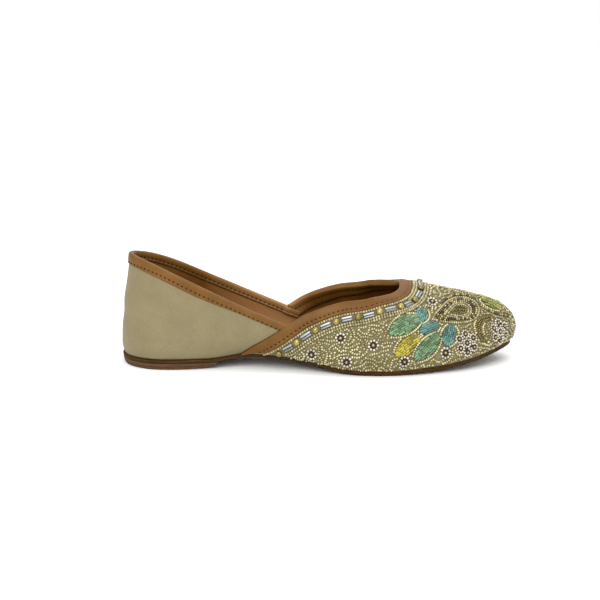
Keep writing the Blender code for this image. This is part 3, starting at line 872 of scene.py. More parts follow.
def fold(outer, inner, reach):
    """The rounded fold over the edge, from the outer face to the inner one."""
    middle, half = (outer + inner) / 2, (outer - inner) / 2
    points = []
    for k in range(1, FOLD_POINTS + 1):
        angle = math.pi / 2 - math.pi * k / (FOLD_POINTS + 1)
        rise = math.copysign(abs(math.sin(angle)) ** FOLD_ROUNDNESS, math.sin(angle))
        points.append((-reach * math.cos(angle) ** FOLD_ROUNDNESS, middle + half * rise))
    return points


def strip_section(outer, inner, wave, reach=FOLD_REACH):
    """Section of a folded strip, from the flap on each side of the edge."""
    outside = flap_section(outer, wave, OUTWARD)
    inside = flap_section(inner, wave, INWARD)
    under = [
        (min(inner.width, inner.cut), inner.face),
        (0.0, inner.face),
        (0.0, outer.face),
        (min(outer.width, outer.cut), outer.face),
    ]
    return outside + fold(outer.face + STRIP, inner.face - STRIP, reach) + inside[::-1] + under


def wave_at(distance):
    """How far the strip is puckered at a distance along it: from 1 at a stitch to -1 between two."""
    return math.cos(2 * math.pi * distance / STITCH_PITCH)


HOLE_HEIGHT = 0.00040
stitch_spots = []


def mark_stitch(edge, depth, face, run, way):
    """Notes a stitch's slanted hole at a depth below an edge."""
    forward = 1 if run.x > 0 else -1
    slanted = run * math.cos(STITCH_SLANT) + edge.down * math.sin(STITCH_SLANT) * forward
    stitch_spots.append((off_edge(edge, depth, face + way * HOLE_HEIGHT), edge.out * way, slanted))


def ahead_of_wing(place, down):
    """Distance down from the collar's edge to the edge of the wing, seen from the side."""
    point = top_point(place)
    near, far = above_wing(point), above_wing(point + down * SLIGHT_STEP)
    return near * SLIGHT_STEP / max(near - far, 1e-7)


def edge_line(name, spots):
    """The dark raw edge of a band together with painted shade of the narrow gap under it, as a thin cord
    through triples of edge, depth and height.
    """
    half = EDGE_LINE / 2
    corners = ((half, -half), (half, half), (-half, half), (-half, -half))
    loops = []
    for edge, depth, height in spots:
        loops.append(loop_off(edge, [(depth + across, height + up) for across, up in corners]))
    closed_strip(name, loops, "binding_leather", RAW_EDGE_AND_GAP_SHADE)


COLLAR_STEPS = 300
THROAT_STEPS = 400
BAND_STEPS = 24
INNER_FACE = -UPPER_WALL - SEAM_GAP
INNER_STITCHES = COLLAR_INNER_WIDTH - COLLAR_INNER_INSET
VAMP_STITCHES = VAMP_WIDTH - VAMP_STITCH_INSET

# The outer side of the quarter's strip at places along X: its width, and how far in its stitches lie
COLLAR_X = (-0.016, -0.004, 0.006, 0.030, 0.041, 0.053, 0.061, 0.076)
COLLAR_WIDTHS = (0.0055, 0.0056, 0.0056, 0.0056, 0.0050, 0.0038, 0.0035, 0.0033)
COLLAR_INSETS = (0.0007, 0.0018, 0.0024, 0.0021, 0.0017, 0.0010, 0.0006, 0.0005)


def collar_outer(x):
    """Width of the strip's outer side there, and the depth of its stitches."""
    width = float(np.interp(x, COLLAR_X, COLLAR_WIDTHS))
    return width, width - float(np.interp(x, COLLAR_X, COLLAR_INSETS))


def make_collar_binding():
    """The strip folded over the quarter's edge, round the heel, running in under the wings."""
    last = first_row(1, lambda place: above_wing(top_point(place)) < CUT_CLEAR)
    places = spread(-last, last, COLLAR_STEPS)
    inner = Flap(COLLAR_INNER_WIDTH, INNER_FACE, WHOLE_FLAP, INNER_STITCHES)
    loops, lower_edge = [], []
    for place, distance in even_run(places, collar_edge, LOOP_STEP):
        edge = edge_frame(collar_edge, place, QUARTER)
        width, stitched = collar_outer(edge.point.x)
        outer = Flap(width, SEAM_GAP, ahead_of_wing(place, edge.down) - CUT_CLEAR, stitched)
        loops.append(loop_off(edge, strip_section(outer, inner, wave_at(distance))))
        lower_edge.append((edge, COLLAR_INNER_WIDTH, INNER_FACE - EDGE_LINE / 2))
    for place, _ in even_run(places, collar_edge, STITCH_PITCH):
        edge = edge_frame(collar_edge, place, QUARTER)
        run = run_of(collar_edge, place, QUARTER)
        stitched = collar_outer(edge.point.x)[1]
        if stitched < ahead_of_wing(place, edge.down) - STITCH_CLEAR:
            mark_stitch(edge, stitched, SEAM_GAP, run, OUTWARD)
        mark_stitch(edge, INNER_STITCHES, INNER_FACE, run, INWARD)
    piece = closed_strip("quarter_binding", loops, "binding_leather", TAN)
    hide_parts("collar_binding")
    edge_line("quarter_band_edge", lower_edge)


# Where the band's end starts, behind the notch, how soon it clears the other band, and its first stitch
BAND_START = -0.002
BAND_CLIMB = 0.003
BAND_STITCH = 0.0012


def make_band_ends():
    """The ends of the quarter's inner band, which run on past the notch over the vamp's band."""
    for side, name in ((1, "outer"), (-1, "inner")):
        place = side * (NOTCH - SLIGHT)
        start, run = collar_edge(place), run_of(collar_edge, place, QUARTER)
        loops, lower_edge = [], []
        for distance in spread(BAND_START, BAND_END, BAND_STEPS):
            point, out = skin_net.find_nearest(start + run * side * distance)[:2]
            edge = Edge(point, run.cross(out).normalized(), out)
            face = INNER_FACE - STRIP * min(max(distance - BAND_START, 0.0) / BAND_CLIMB, 1.0)
            front = Flap(COLLAR_INNER_WIDTH, face, WHOLE_FLAP, INNER_STITCHES)
            top = [(-0.0004, face - 0.0008), (-0.0008, face - 0.0005), (-0.0009, face)]
            section = flap_section(front, wave_at(distance), INWARD) + top + [(COLLAR_INNER_WIDTH, face)]
            loops.append(loop_off(edge, section))
            lower_edge.append((edge, COLLAR_INNER_WIDTH, face - EDGE_LINE / 2))
            stitches = (distance - BAND_STITCH) / STITCH_PITCH
            if abs(stitches - round(stitches)) < 0.08:
                mark_stitch(edge, INNER_STITCHES, face, run, INWARD)
        closed_strip(f"{name}_band_end", loops, "binding_leather", TAN)
        edge_line(f"{name}_band_end_edge", lower_edge)


def vamp_stretch(place):
    return QUARTER if abs(place) < NOTCH else THROAT_SIDE


# Rows past the notch over which the strip's inner side turns in, and the taper at both ends of the strip
TURN_IN = 0.15
TAPER_LENGTH = 0.012
# How far over the sole the strip's outer side is cut off at the foot of a wing, and the least of it left
WING_CLEAR = 0.0004
WING_LEAST = 0.0002


def inner_flap(place):
    """The strip's inner side: it lies on the quarter along the wing and is turned in past the notch."""
    share = min(max((abs(place) - NOTCH) / TURN_IN, 0.0), 1.0)
    face = (STRIP + 0.0001) * (1 - share) + INNER_FACE * share
    width = VAMP_INNER_WIDTH * share
    return Flap(width, face, WHOLE_FLAP * share, min(VAMP_INNER_STITCHES, width * 0.6))


def make_vamp_binding():
    """The strip folded over the throat's edge, and on along the edge of each wing down to the sole."""
    outer_face = CLOTH_TOP + SEAM_GAP
    outer_places = spread(vamp_start, THROAT, THROAT_STEPS)
    inner_places = spread(-THROAT, vamp_end, THROAT_STEPS)
    half = even_run(outer_places, vamp_edge, LOOP_STEP)
    other = even_run(inner_places, vamp_edge, LOOP_STEP)
    length, whole = half[-1][1], half[-1][1] + other[-1][1]
    loops, lower_edge, wing_edges = [], [], {1: [], -1: []}
    for place, distance in half + [(place, length + distance) for place, distance in other[1:]]:
        edge = edge_frame(vamp_edge, place, vamp_stretch(place))
        cut = max(over_sole(place) - WING_CLEAR, WING_LEAST)
        outer = Flap(VAMP_WIDTH, outer_face, cut, VAMP_STITCHES)
        reach = FOLD_REACH * min(1.0, 0.2 + min(distance, whole - distance) / TAPER_LENGTH)
        loops.append(loop_off(edge, strip_section(outer, inner_flap(place), wave_at(distance), reach)))
        if abs(place) > NOTCH + TURN_IN:
            lower_edge.append((edge, VAMP_INNER_WIDTH, INNER_FACE - EDGE_LINE / 2))
        elif abs(place) < NOTCH:
            wing_edges[1 if place > 0 else -1].append((edge, -reach, EDGE_LINE / 2))
    piece = closed_strip("throat_binding", loops, "binding_leather", TAN)
    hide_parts("vamp_binding")
    # Dark raw edges of the band and of the wings, with painted shade of the gap beside them.
    edge_line("throat_band_edge", lower_edge)
    edge_line("outer_wing_edge", wing_edges[1])
    edge_line("inner_wing_edge", wing_edges[-1])
    stitches = even_run(outer_places, vamp_edge, STITCH_PITCH)
    stitches += even_run(inner_places, vamp_edge, STITCH_PITCH)[1:]
    for place, _ in stitches:
        edge = edge_frame(vamp_edge, place, vamp_stretch(place))
        run = run_of(vamp_edge, place, vamp_stretch(place))
        if VAMP_STITCHES < over_sole(place) - STITCH_CLEAR:
            mark_stitch(edge, VAMP_STITCHES, outer_face, run, OUTWARD)
        if abs(place) > NOTCH + TURN_IN:
            mark_stitch(edge, VAMP_INNER_STITCHES, INNER_FACE, run, INWARD)


# The bottom

# Sides of the sole and of the lift, from below: pairs of share of the height and inset
SOLE_SIDE = (
    (0.0, 0.0011), (0.05, 0.0005), (0.22, 0.0001), (0.5, 0.0),
    (0.8, 0.00005), (0.95, 0.0003), (1.0, 0.0008),
)
LIFT_SIDE = (
    (0.0, 0.0020), (0.06, 0.0013), (0.20, 0.0009), (0.46, 0.0006),
    (0.50, 0.0009), (0.54, 0.0005), (0.85, 0.0002), (1.0, 0.0002),
)
SOCK_INSET = FEATHER_INSET + UPPER_WALL + 0.0004
SOCK_SIDE = (
    (0.0, SOCK_INSET), (0.6, SOCK_INSET),
    (0.9, SOCK_INSET + 0.0003), (1.0, SOCK_INSET + 0.0008),
)
LIFT_GAP = 0.00002
PLATE_ROW_STEPS = 9


def plate(name, last_row, side_profile, lower, upper, slot, finish):
    """A plate with the sole's outline and that side, between a lower and an upper height along it."""
    rows = spread(0.0, last_row, round(last_row * PLATE_ROW_STEPS))

    def section(row):
        corners = []
        for side, profile in ((1, side_profile), (-1, side_profile[::-1])):
            for share, inset in profile:
                point = inset_outline(side * row, inset)
                point.z = lower(point.x) + share * (upper(point.x) - lower(point.x))
                corners.append(settled(point))
        return corners

    return closed_strip(name, [section(row) for row in rows], slot, finish, sharp=60)


def row_at(x):
    """Row of the last at a distance from the back of the sole."""
    return narrowed(TIP, lambda row: column("along", row) * SOLE_LENGTH >= x)[0]


def lift_bottom(x):
    """Height of the lift's lower face: flat under the heel, then bevelled off."""
    return LIFT_BEVEL * (max(0.0, x - LIFT_FLAT) / (LIFT_LENGTH - LIFT_FLAT)) ** 2


def lift_top(x):
    return underside(x) - LIFT_GAP


def sock_bottom(x):
    return sole_top(x) + FIT_GAP


def sock_top(x):
    return sole_top(x) + FIT_GAP + INSOLE_THICKNESS


def make_bottom():
    """The outsole, the stacked lift under its heel and the sock on top of it."""
    sole = plate("leather_sole", TIP, SOLE_SIDE, underside, sole_top, "sole_leather", SOLE)
    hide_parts("outsole")
    last_row = row_at(LIFT_LENGTH)
    heel = plate("stacked_heel", last_row, LIFT_SIDE, lift_bottom, lift_top, "heel_leather", HEEL)
    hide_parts("heel_lift")
    sock = plate("insole_sock", TIP, SOCK_SIDE, sock_bottom, sock_top, "insole_leather", SOCK)
    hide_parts("insole")


# Beads

Bead = namedtuple("Bead", "centre along out length width height tint")
rng = random.Random(7)


def bead_shape(segments, rings):
    bm = bmesh.new()
    bmesh.ops.create_uvsphere(bm, u_segments=segments, v_segments=rings, radius=0.5)
    return bm


def bugle_shape(segments):
    """A short tube of glass with rounded ends, lying along X."""
    bm = bmesh.new()
    bmesh.ops.create_cone(bm, cap_ends=True, segments=segments, radius1=0.5, radius2=0.5, depth=1.0)
    rims = [edge for edge in bm.edges if abs(edge.verts[0].co.z - edge.verts[1].co.z) < 0.01]
    bmesh.ops.bevel(bm, geom=rims, offset=0.12, segments=1, profile=0.5, affect="EDGES", material=-1)
    for vert in bm.verts:
        vert.co = Vector((vert.co.z, vert.co.y, vert.co.x))
    return bm


def string_up(name, beads, shape, slot, finish):
    """One mesh of many beads of one shape, each with its own place, turn, size and tint."""
    verts = np.array([vert.co for vert in shape.verts])
    shape.verts.index_update()
    faces = [[vert.index for vert in face.verts] for face in shape.faces]
    shape.free()
    centres = np.array([bead.centre for bead in beads])
    along = np.array([bead.along for bead in beads])
    out = np.array([bead.out for bead in beads])
    side = np.cross(out, along)
    side /= np.linalg.norm(side, axis=1)[:, None]
    along = np.cross(side, out)
    sizes = np.array([(bead.length, bead.width, bead.height) for bead in beads])
    turns = np.stack([along * sizes[:, :1], side * sizes[:, 1:2], out * sizes[:, 2:]], axis=2)
    points = np.einsum("nij,kj->nki", turns, verts) + centres[:, None, :]
    count = len(verts)
    loops = np.concatenate([np.concatenate(faces) + n * count for n in range(len(beads))])
    lengths = np.tile([len(face) for face in faces], len(beads))
    mesh = bpy.data.meshes.new(name)
    mesh.vertices.add(count * len(beads))
    mesh.vertices.foreach_set("co", points.reshape(-1).astype(np.float32))
    mesh.loops.add(len(loops))
    mesh.loops.foreach_set("vertex_index", loops.astype(np.int32))
    mesh.polygons.add(len(lengths))
    mesh.polygons.foreach_set("loop_start", np.concatenate([[0], np.cumsum(lengths)[:-1]]).astype(np.int32))
    mesh.update(calc_edges=True)
    mesh.validate()
    tint = mesh.attributes.new("tint", "FLOAT", "POINT")
    tint.data.foreach_set("value", np.repeat([bead.tint for bead in beads], count).astype(np.float32))
    mesh.shade_smooth()
    return placed(name, mesh, slot, finish)


# A cell of the cloth and those round it, and how near along its own strand a bead may touch another
CELL = 0.0025
CELLS_ROUND = tuple(itertools.product((-1, 0, 1), repeat=3))
STRAND_NEIGHBOURS = 3


class Ground:
    """What already lies on the cloth, so that later beads keep clear of it."""

    def __init__(self):
        self.cells = defaultdict(list)

    def key(self, point):
        return tuple(math.floor(part / CELL) for part in point)

    def add(self, point, radius, strand=-1, number=0):
        self.cells[self.key(point)].append((point, radius, strand, number))

    def clear(self, point, radius, strand=-1, number=0, apart=0.0):
        """Whether a bead fits there. Beads of other strands keep at least apart between centres."""
        i, j, k = self.key(point)
        for di, dj, dk in CELLS_ROUND:
            for other, size, other_strand, other_number in self.cells.get((i + di, j + dj, k + dk), ()):
                beside = abs(other_number - number) < STRAND_NEIGHBOURS
                if beside and other_strand == strand and strand >= 0:
                    continue
                need = apart if other_strand >= 0 and apart else radius + size
                if (other - point).length < need:
                    return False
        return True


ground = Ground()
piles = defaultdict(list)


def tree_of_points(points):
    tree = KDTree(len(points))
    for k, point in enumerate(points):
        tree.insert(point, k)
    tree.balance()
    return tree


fine_places = spread(vamp_start, THROAT, 500) + spread(-THROAT, vamp_end, 500)
edge_tree = tree_of_points([vamp_edge(place) for place in fine_places])
foot_places = spread(vamp_start, TIP, 400) + spread(-TIP, vamp_end, 400)
foot_tree = tree_of_points([on_vamp(place, 0.0) for place in foot_places])
FOOT_CLEAR = 0.0016


def make_raised_net():
    """The vamp's skin raised to the middle of the beads, which is what the camera sees."""
    bm = vamp_sheet(ROW_STEPS, RIB_STEPS)
    for vert in bm.verts:
        vert.co += vert.normal * (CLOTH_TOP + SEED / 2)
    return tree_of(bm)


raised_net = make_raised_net()


def over_cloth(point):
    """Nearest point of the vamp's skin and the way out there."""
    return vamp_net.find_nearest(point)[:2]


def on_cloth(point, edge_room=0.0):
    """Whether a point is on open cloth, clear of the strip round it and of the sole."""
    if edge_tree.find(point)[2] < VAMP_WIDTH + edge_room:
        return False
    return foot_tree.find(point)[2] > FOOT_CLEAR


def lay_bead(
    pile, point, along, length, width, tint, height=None, sink=0.12, strand=-1, number=0, claim=True
):
    """Puts a bead on the cloth, sunk a little into it, and claims its ground."""
    spot, normal = over_cloth(point)
    height = height or width
    centre = spot + normal * (CLOTH_TOP + height * (0.5 - sink))
    along = (along - normal * along.dot(normal)).normalized()
    piles[pile].append(Bead(centre, along, normal, length, width, height, tint))
    if claim:
        ground.add(spot, min(length, width) / 2, strand, number)


def resample(points, pitch):
    """Points at even distances along a line in space, each with the line's direction."""
    distances = distances_along(points)
    count = max(1, round(distances[-1] / pitch))
    wanted = (np.arange(count) + 0.5) * distances[-1] / count
    columns = [np.interp(wanted, distances, [point[axis] for point in points]) for axis in range(3)]
    spots = [Vector(spot) for spot in zip(*columns)]
    result = []
    for k, spot in enumerate(spots):
        run = spots[min(k + 1, len(spots) - 1)] - spots[max(k - 1, 0)]
        result.append((spot, run.normalized() if run.length else VIEW_RIGHT))
    return result


# The row from which the border drifts off the strip, the share of that drift where its front begins, how
# near the strip a row may come for its depth, and over how many points each way a row is evened
DRIFT_FROM = 9.0
FRONT_FROM = 0.65
ROW_CLEAR = 0.93
EVENED_OVER = 8


def evened(points):
    """A line of points without its small zigzags: each is the mean of its neighbours."""
    result = []
    for k in range(len(points)):
        reach = min(EVENED_OVER, k, len(points) - 1 - k)
        near = points[k - reach : k + reach + 1]
        result.append(sum(near, Vector()) / len(near))
    return result


def edge_row(depth, drift=1.0, only_front=False):
    """The line at a depth below the vamp's edge, wing to wing, as points on the skin."""
    points = []
    for place in fine_places[::2]:
        share = min(max((abs(place) - DRIFT_FROM) / (THROAT - DRIFT_FROM), 0.0), 1.0)
        if only_front and share < FRONT_FROM:
            continue
        reach = depth + FRONT_DRIFT * drift * hermite(0.0, 1.0, 0.0, 0.0, share)
        edge = edge_frame(vamp_edge, place, vamp_stretch(place))
        point = over_cloth(edge.point + edge.down * reach)[0]
        if foot_tree.find(point)[2] > FOOT_CLEAR and edge_tree.find(point)[2] > reach * ROW_CLEAR:
            points.append(point)
    return evened(points)


# The two silver bugles of a link: how far across its middle each lies, in widths, and its shade. The darker
# and the lighter shade are painted reflection, the dark and bright streaks of silver glass
SILVER_PAIR_PAINTED_STREAKS = ((-0.5, 0.25), (0.5, 0.65))


def make_border():
    """Rows of seed beads along the strip, with a band of gold rounds and silver bugles between them."""
    rows = [edge_row(VAMP_WIDTH + extra, 0.0 if k == 0 else 1.0) for k, extra in enumerate(BORDER_ROWS)]
    rows.append(edge_row(VAMP_WIDTH + BORDER_ROWS[0] + BORDER_SEED, 0.0, only_front=True))
    for row in rows:
        for spot, run in resample(row, BORDER_SEED * 0.97):
            lay_bead("border", spot, run, BORDER_SEED * 0.9, BORDER_SEED, rng.uniform(0.0, 0.58))
    for k, (spot, run) in enumerate(resample(edge_row(VAMP_WIDTH + BAND_ROW), BAND_PITCH / 2)):
        if k % 2 == 0:
            shade = rng.uniform(0.1, 0.8)
            lay_bead("gold_round", spot, run, GOLD_ROUND, GOLD_ROUND, shade, GOLD_ROUND * 0.8)
            ground.add(spot, GOLD_ROUND / 2)
            continue
        side = over_cloth(spot)[1].cross(run).normalized()
        # Painted reflection: each bugle of the pair takes its darker or lighter shade.
        for across, shade in SILVER_PAIR_PAINTED_STREAKS:
            centre = spot + side * across * BUGLE_WIDTH
            shade *= rng.uniform(0.6, 1.0)
            lay_bead("silver", centre, run, BUGLE_LENGTH * rng.uniform(0.9, 1.0), BUGLE_WIDTH, shade)
        for step in range(-3, 4):
            ground.add(over_cloth(spot + run * step * BUGLE_LENGTH / 6)[0], BUGLE_WIDTH)


# Motifs, drawn as they are seen from the side: millimetres forward of and above the middle of the view


def seen(x, z, side):
    """Point of the vamp seen at that spot of the view, from the outer (1) or the inner (-1) side."""
    eye = EYE.copy()
    spot = TARGET + VIEW_RIGHT * (x / 1000) + VIEW_UP * (z / 1000)
    if side < 0:
        eye.y, spot.y = -eye.y, -spot.y
    hit = raised_net.ray_cast(eye, (spot - eye).normalized())
    return over_cloth(hit[0] or spot)[0]


def ways_across(normal, hint):
    """Two directions at right angles to each other and to a normal."""
    first = normal.cross(Vector(hint)).normalized()
    return first, normal.cross(first)


def turned(ways, angle):
    return ways[0] * math.cos(angle) + ways[1] * math.sin(angle)


# A flower: the ring its petals lie on, and the widths of a petal, of its heart and of its dark ground
Flower = namedtuple("Flower", "ring petal heart ground")
LOOSE_FLOWER = Flower(0.0028, 0.00170, 0.0020, 0.0050)
CLUSTER_FLOWER = Flower(0.00218, 0.00142, 0.0017, 0.0054)
PETALS = 9
GROUND_HEIGHT = 0.0006
# How far a petal may reach in under the strip, and the share of its width that no other bead may touch
PETAL_OVERHANG = 0.0010
PETAL_CORE = 0.30


def round_flower(centre, flower):
    """A ring of beads round a gold one, on a dark ground."""
    petal, heart, dark_width = flower.petal, flower.heart, flower.ground
    spot, normal = over_cloth(centre)
    ways = ways_across(normal, (0.3, 0.1, 1))
    first = ways[0]
    lay_bead("dark", spot, first, dark_width, dark_width, 0.5, GROUND_HEIGHT, claim=False)
    lay_bead("gold_seed", spot, first, heart, heart, rng.uniform(0.4, 1.0))
    turn = rng.uniform(0, 1)
    for k in range(PETALS):
        way = turned(ways, 2 * math.pi * (k + turn) / PETALS)
        point = over_cloth(spot + way * flower.ring)[0]
        if on_cloth(point, -PETAL_OVERHANG) and ground.clear(point, petal * PETAL_CORE):
            lay_bead("white", point, normal.cross(way), petal, petal, rng.uniform(0.2, 1.0))


# Flowers by their middles. A cluster is seven flowers, each so far from its middle one
FLOWERS = (
    (7.2, -34.7), (25.7, -24.2), (46.4, -28.7), (29.4, -39.5),
    (83.7, -0.8), (66.2, -39.2), (92.2, -33.5),
)
CLUSTERS = (((105.9, -27.2), 5.5), ((127.0, -20.0), 5.4))


def on_side(spot, side):
    """Whether a spot still lies on that side of the ridge, or close to it."""
    return spot.y * side < 0.001


def make_flowers(side):
    """The single flowers, where nothing lies yet, and the clusters near the toe."""
    for x, z in FLOWERS:
        spot = seen(x, z, side)
        if ground.clear(spot, 0.002):
            round_flower(spot, LOOSE_FLOWER)
    for (x, z), apart in CLUSTERS:
        middle = seen(x, z, side)
        ways = ways_across(over_cloth(middle)[1], (0, 0, 1))
        ring = [middle + turned(ways, math.pi * (k + 0.5) / 3) * apart / 1000 for k in range(6)]
        for spot in [middle] + ring:
            round_flower(over_cloth(spot)[0], CLUSTER_FLOWER)


# A leaf: where its tip and base are seen, its half width, the pile of bugles and how far it is bowed.
# Its columns of bugles, the bugles' length and the rim of seeds outside it are in millimetres of the view.
Leaf = namedtuple("Leaf", "tip base half_width pile bow")
LEAF_PITCH = 1.30
LEAF_BUGLE = 3.6
LEAF_RIM = 1.25
LEAF_BUGLE_WIDTH = 0.00140
LONGEST_BUGLE = 0.009
SHORTEST_BUGLE = 0.0012
# How uneven the columns are, how far the bugles under them are shifted, as a share of the leaf's length, how
# clear of the cloth's edge and of other beads a bugle lies, and the two spots along it that it claims
LEAF_JITTER = 0.22
UNDER_SHIFT = 0.04
LEAF_ROOM = 0.0008
BUGLE_CORE = 0.0004
BUGLE_SPOTS = (0.12, 0.88)
SPOT_CORE = 0.0005
LEAVES = (
    Leaf((56.6, -21.4), (75.4, -11.6), 5.4, "mint", 0.6),
    Leaf((73.0, -38.0), (87.6, -22.4), 4.7, "mint", -0.4),
    Leaf((60.8, -35.6), (75.0, -23.8), 4.8, "yellow", 0.3),
    Leaf((74.8, -14.2), (78.4, -5.2), 4.4, "teal", 0.2),
    Leaf((76.0, -20.4), (87.8, -15.2), 3.9, "teal", 0.3),
    Leaf((92.8, -29.0), (96.2, -16.2), 4.5, "teal", -0.3),
    Leaf((114.6, 1.6), (127.4, -4.6), 3.2, "lime", 0.5),
)


def uneven():
    return rng.uniform(-LEAF_JITTER, LEAF_JITTER)


def make_leaf(leaf, side):
    """Columns of glass bugles along a leaf, each as long as the leaf is there, with seeds round them all."""
    tip, base = Vector(leaf.tip), Vector(leaf.base)
    axis = base - tip
    length = axis.length
    axis.normalize()
    across = Vector((-axis.y, axis.x))

    def half_width(share):
        return leaf.half_width * max(0.0, math.sin(math.pi * (share * 0.86 + 0.05))) ** 0.75

    def at(share, offset):
        return tip + axis * length * share + across * (offset + leaf.bow * math.sin(math.pi * share))

    half_count = round(leaf.half_width / LEAF_PITCH - 0.2)
    for k in range(-half_count, half_count + 1):
        offset = k * LEAF_PITCH
        inside = [share for share in spread(0.0, 1.0, 60) if half_width(share) >= abs(offset)]
        if len(inside) < 4:
            continue
        first_share, last_share = inside[0], inside[-1]
        chord = (last_share - first_share) * length
        count = max(1, round(chord / LEAF_BUGLE + rng.uniform(-0.3, 0.3)))
        cuts = [first_share]
        for n in range(1, count):
            cuts.append(first_share + (last_share - first_share) * (n + uneven()) / count)
        cuts.append(last_share)
        for start_share, end_share in zip(cuts, cuts[1:]):
            tilt = uneven()
            lay_bugle(leaf, at(start_share, offset - tilt), at(end_share, offset + tilt), side)
            if abs(k) < half_count:
                aside = offset + LEAF_PITCH / 2
                ends = [at(share + UNDER_SHIFT, aside) for share in (start_share, end_share)]
                lay_bugle(leaf, *ends, side, under=True)
    rim = [at(share, half_width(share) + LEAF_RIM) for share in spread(0.0, 1.0, 40)]
    rim += [at(share, -half_width(share) - LEAF_RIM) for share in spread(1.0, 0.0, 40)]
    draw_row(rim + rim[:1], side, "ivory", SEED_PITCH, SEED)


def lay_bugle(leaf, start, end, side, under=False):
    """One bugle of a leaf between two spots of the view, where there is bare cloth or under the others."""
    first, last = seen(start.x, start.y, side), seen(end.x, end.y, side)
    run = last - first
    if run.length > LONGEST_BUGLE or run.length < SHORTEST_BUGLE or not on_side(first, side):
        return
    if not on_cloth(first, LEAF_ROOM) or not on_cloth(last, LEAF_ROOM):
        return
    middle = over_cloth((first + last) / 2)[0]
    if under:
        shade = rng.random() / 2
        lay_bead(leaf.pile, middle, run, run.length, LEAF_BUGLE_WIDTH, shade, sink=0.4, claim=False)
        return
    if not ground.clear(middle, BUGLE_CORE):
        return
    lay_bead(leaf.pile, middle, run, run.length * 0.98, LEAF_BUGLE_WIDTH, rng.random(), sink=0.0)
    for share in BUGLE_SPOTS:
        ground.add(over_cloth(first + run * share)[0], SPOT_CORE)


# How clear of the strip a drawn row lies, and two shares of a bead's width: the part that no other bead may
# touch, and its length along the row
ROW_ROOM = 0.0003
ROW_CORE = 0.38
ROW_FLATNESS = 0.88


def draw_row(points, side, pile, pitch, width, tint=(0.3, 1.0)):
    """A row of seed beads along a line of the view. The antique ones are either dark or bright."""
    line = [seen(x, z, side) for x, z in points]
    line = [spot for spot in line if on_cloth(spot, ROW_ROOM)]
    if len(line) < 2:
        return
    strand = rng.randrange(10**6, 10**7)
    for k, (spot, run) in enumerate(resample(line, pitch)):
        spot = over_cloth(spot)[0]
        if not on_cloth(spot, ROW_ROOM) or not ground.clear(spot, width * ROW_CORE, strand, k):
            continue
        shade = rng.uniform(*tint)
        if pile == "antique":
            shade = rng.uniform(0.0, 0.2) if rng.random() < 0.6 else rng.uniform(0.6, 1.0)
        lay_bead(pile, spot, run, width * ROW_FLATNESS, width, shade, strand=strand, number=k)


def smooth_line(knots, closed=False, steps=10):
    """A smooth curve of the view through some knots."""
    count = len(knots)
    points = []
    for k in range(count if closed else count - 1):
        near = [(k + n) % count if closed else min(max(k + n, 0), count - 1) for n in (-1, 0, 1, 2)]
        a, b, c, d = (Vector(knots[n]) for n in near)
        for step in range(steps):
            points.append(hermite(b, c, (c - a) / 2, (d - b) / 2, step / steps))
    if not closed:
        points.append(Vector(knots[-1]))
    return points


def shrunk(knots, centre, share):
    """Knots drawn in towards a centre, to that share of their distance from it."""
    return [tuple(Vector(centre) + (Vector(knot) - Vector(centre)) * share) for knot in knots]


# The teardrop's outline and heart, then its rows: share of the outline's size, pile and width of the beads
TEARDROP = (
    (84.6, -11.6), (89.0, -5.0), (94.6, 0.2), (101.4, 1.9), (108.6, 0.4),
    (113.2, -4.6), (111.6, -11.0), (104.4, -14.0), (94.0, -13.9),
)
TEARDROP_HEART = (101.5, -6.2)
TEARDROP_ROWS = (
    (1.0, "ivory", SEED),
    (0.86, "antique", 0.0016),
    (0.72, "antique", 0.0015),
    (0.58, "ivory", SEED),
    (0.44, "ivory", SEED * 0.9),
    (0.30, "olive", SEED),
    (0.17, "olive", SEED),
    (0.06, "olive", SEED),
)
# The scrolls: knots of each, the pile of its beads and how many rows of them it has. The rows lie a pitch
# apart forward and lean down by a share of it. The rim is how far the ivory rows lie outside the others, in
# pitches.
SCROLL_PITCH = 1.45
SCROLL_LEAN = 0.35
SCROLL_RIM = 0.4
SCROLLS = (
    (((121.8, -10.9), (116.2, -12.2), (113.2, -16.0), (114.2, -21.5), (117.0, -26.2)), "olive", 3),
    (((112.6, -1.6), (118.6, -5.6), (125.0, -8.6), (131.4, -9.9)), "antique", 2),
)


def make_teardrop(side):
    """The teardrop by the toe: rows of ivory, antique and olive beads, each row inside the one before."""
    for share, pile, width in TEARDROP_ROWS:
        line = smooth_line(shrunk(TEARDROP, TEARDROP_HEART, share), True)
        draw_row(line + line[:1], side, pile, width * 0.92, width, tint=(0.0, 0.65))
    arch = smooth_line([(x - 0.2, z + 1.7) for x, z in TEARDROP[:6]])
    draw_row(arch, side, "antique", 0.0015, 0.0017)


def make_scrolls(side):
    """Rows of beads side by side along each scroll, with a row of ivory ones down each side."""
    for knots, pile, count in SCROLLS:
        rows = [(row - (count - 1) / 2, pile, (0.0, 1.0)) for row in range(count)]
        outermost = count / 2 + SCROLL_RIM
        rows += [(aside, "ivory", (0.3, 1.0)) for aside in (-outermost, outermost)]
        for aside, beads, tint in rows:
            shift = aside * SCROLL_PITCH
            line = smooth_line([(x + shift, z - shift * SCROLL_LEAN) for x, z in knots])
            draw_row(line, side, beads, SEED_PITCH, SEED, tint)


# A strand's turn at its start, how much of a turn it keeps from bead to bead and how much is new, how many
# beads it may grow each way, and how close to each other those beads may come, as a share of their pitch
FIRST_TURN = 0.3
KEPT_TURN = 0.75
NEW_TURN = 0.28
BRANCH = (4, 11)
CLOSEST = 0.8
# Painted shade: the strands grow darker toward the toe by this much, from this far along and over this far
TOE_PAINTED_SHADE = 0.35
TOE_FROM = 0.185
TOE_FADE = 0.020
BORDER_ROOM = BORDER_ROWS[-1] + BORDER_SEED * 0.8
FLATNESS = 0.82
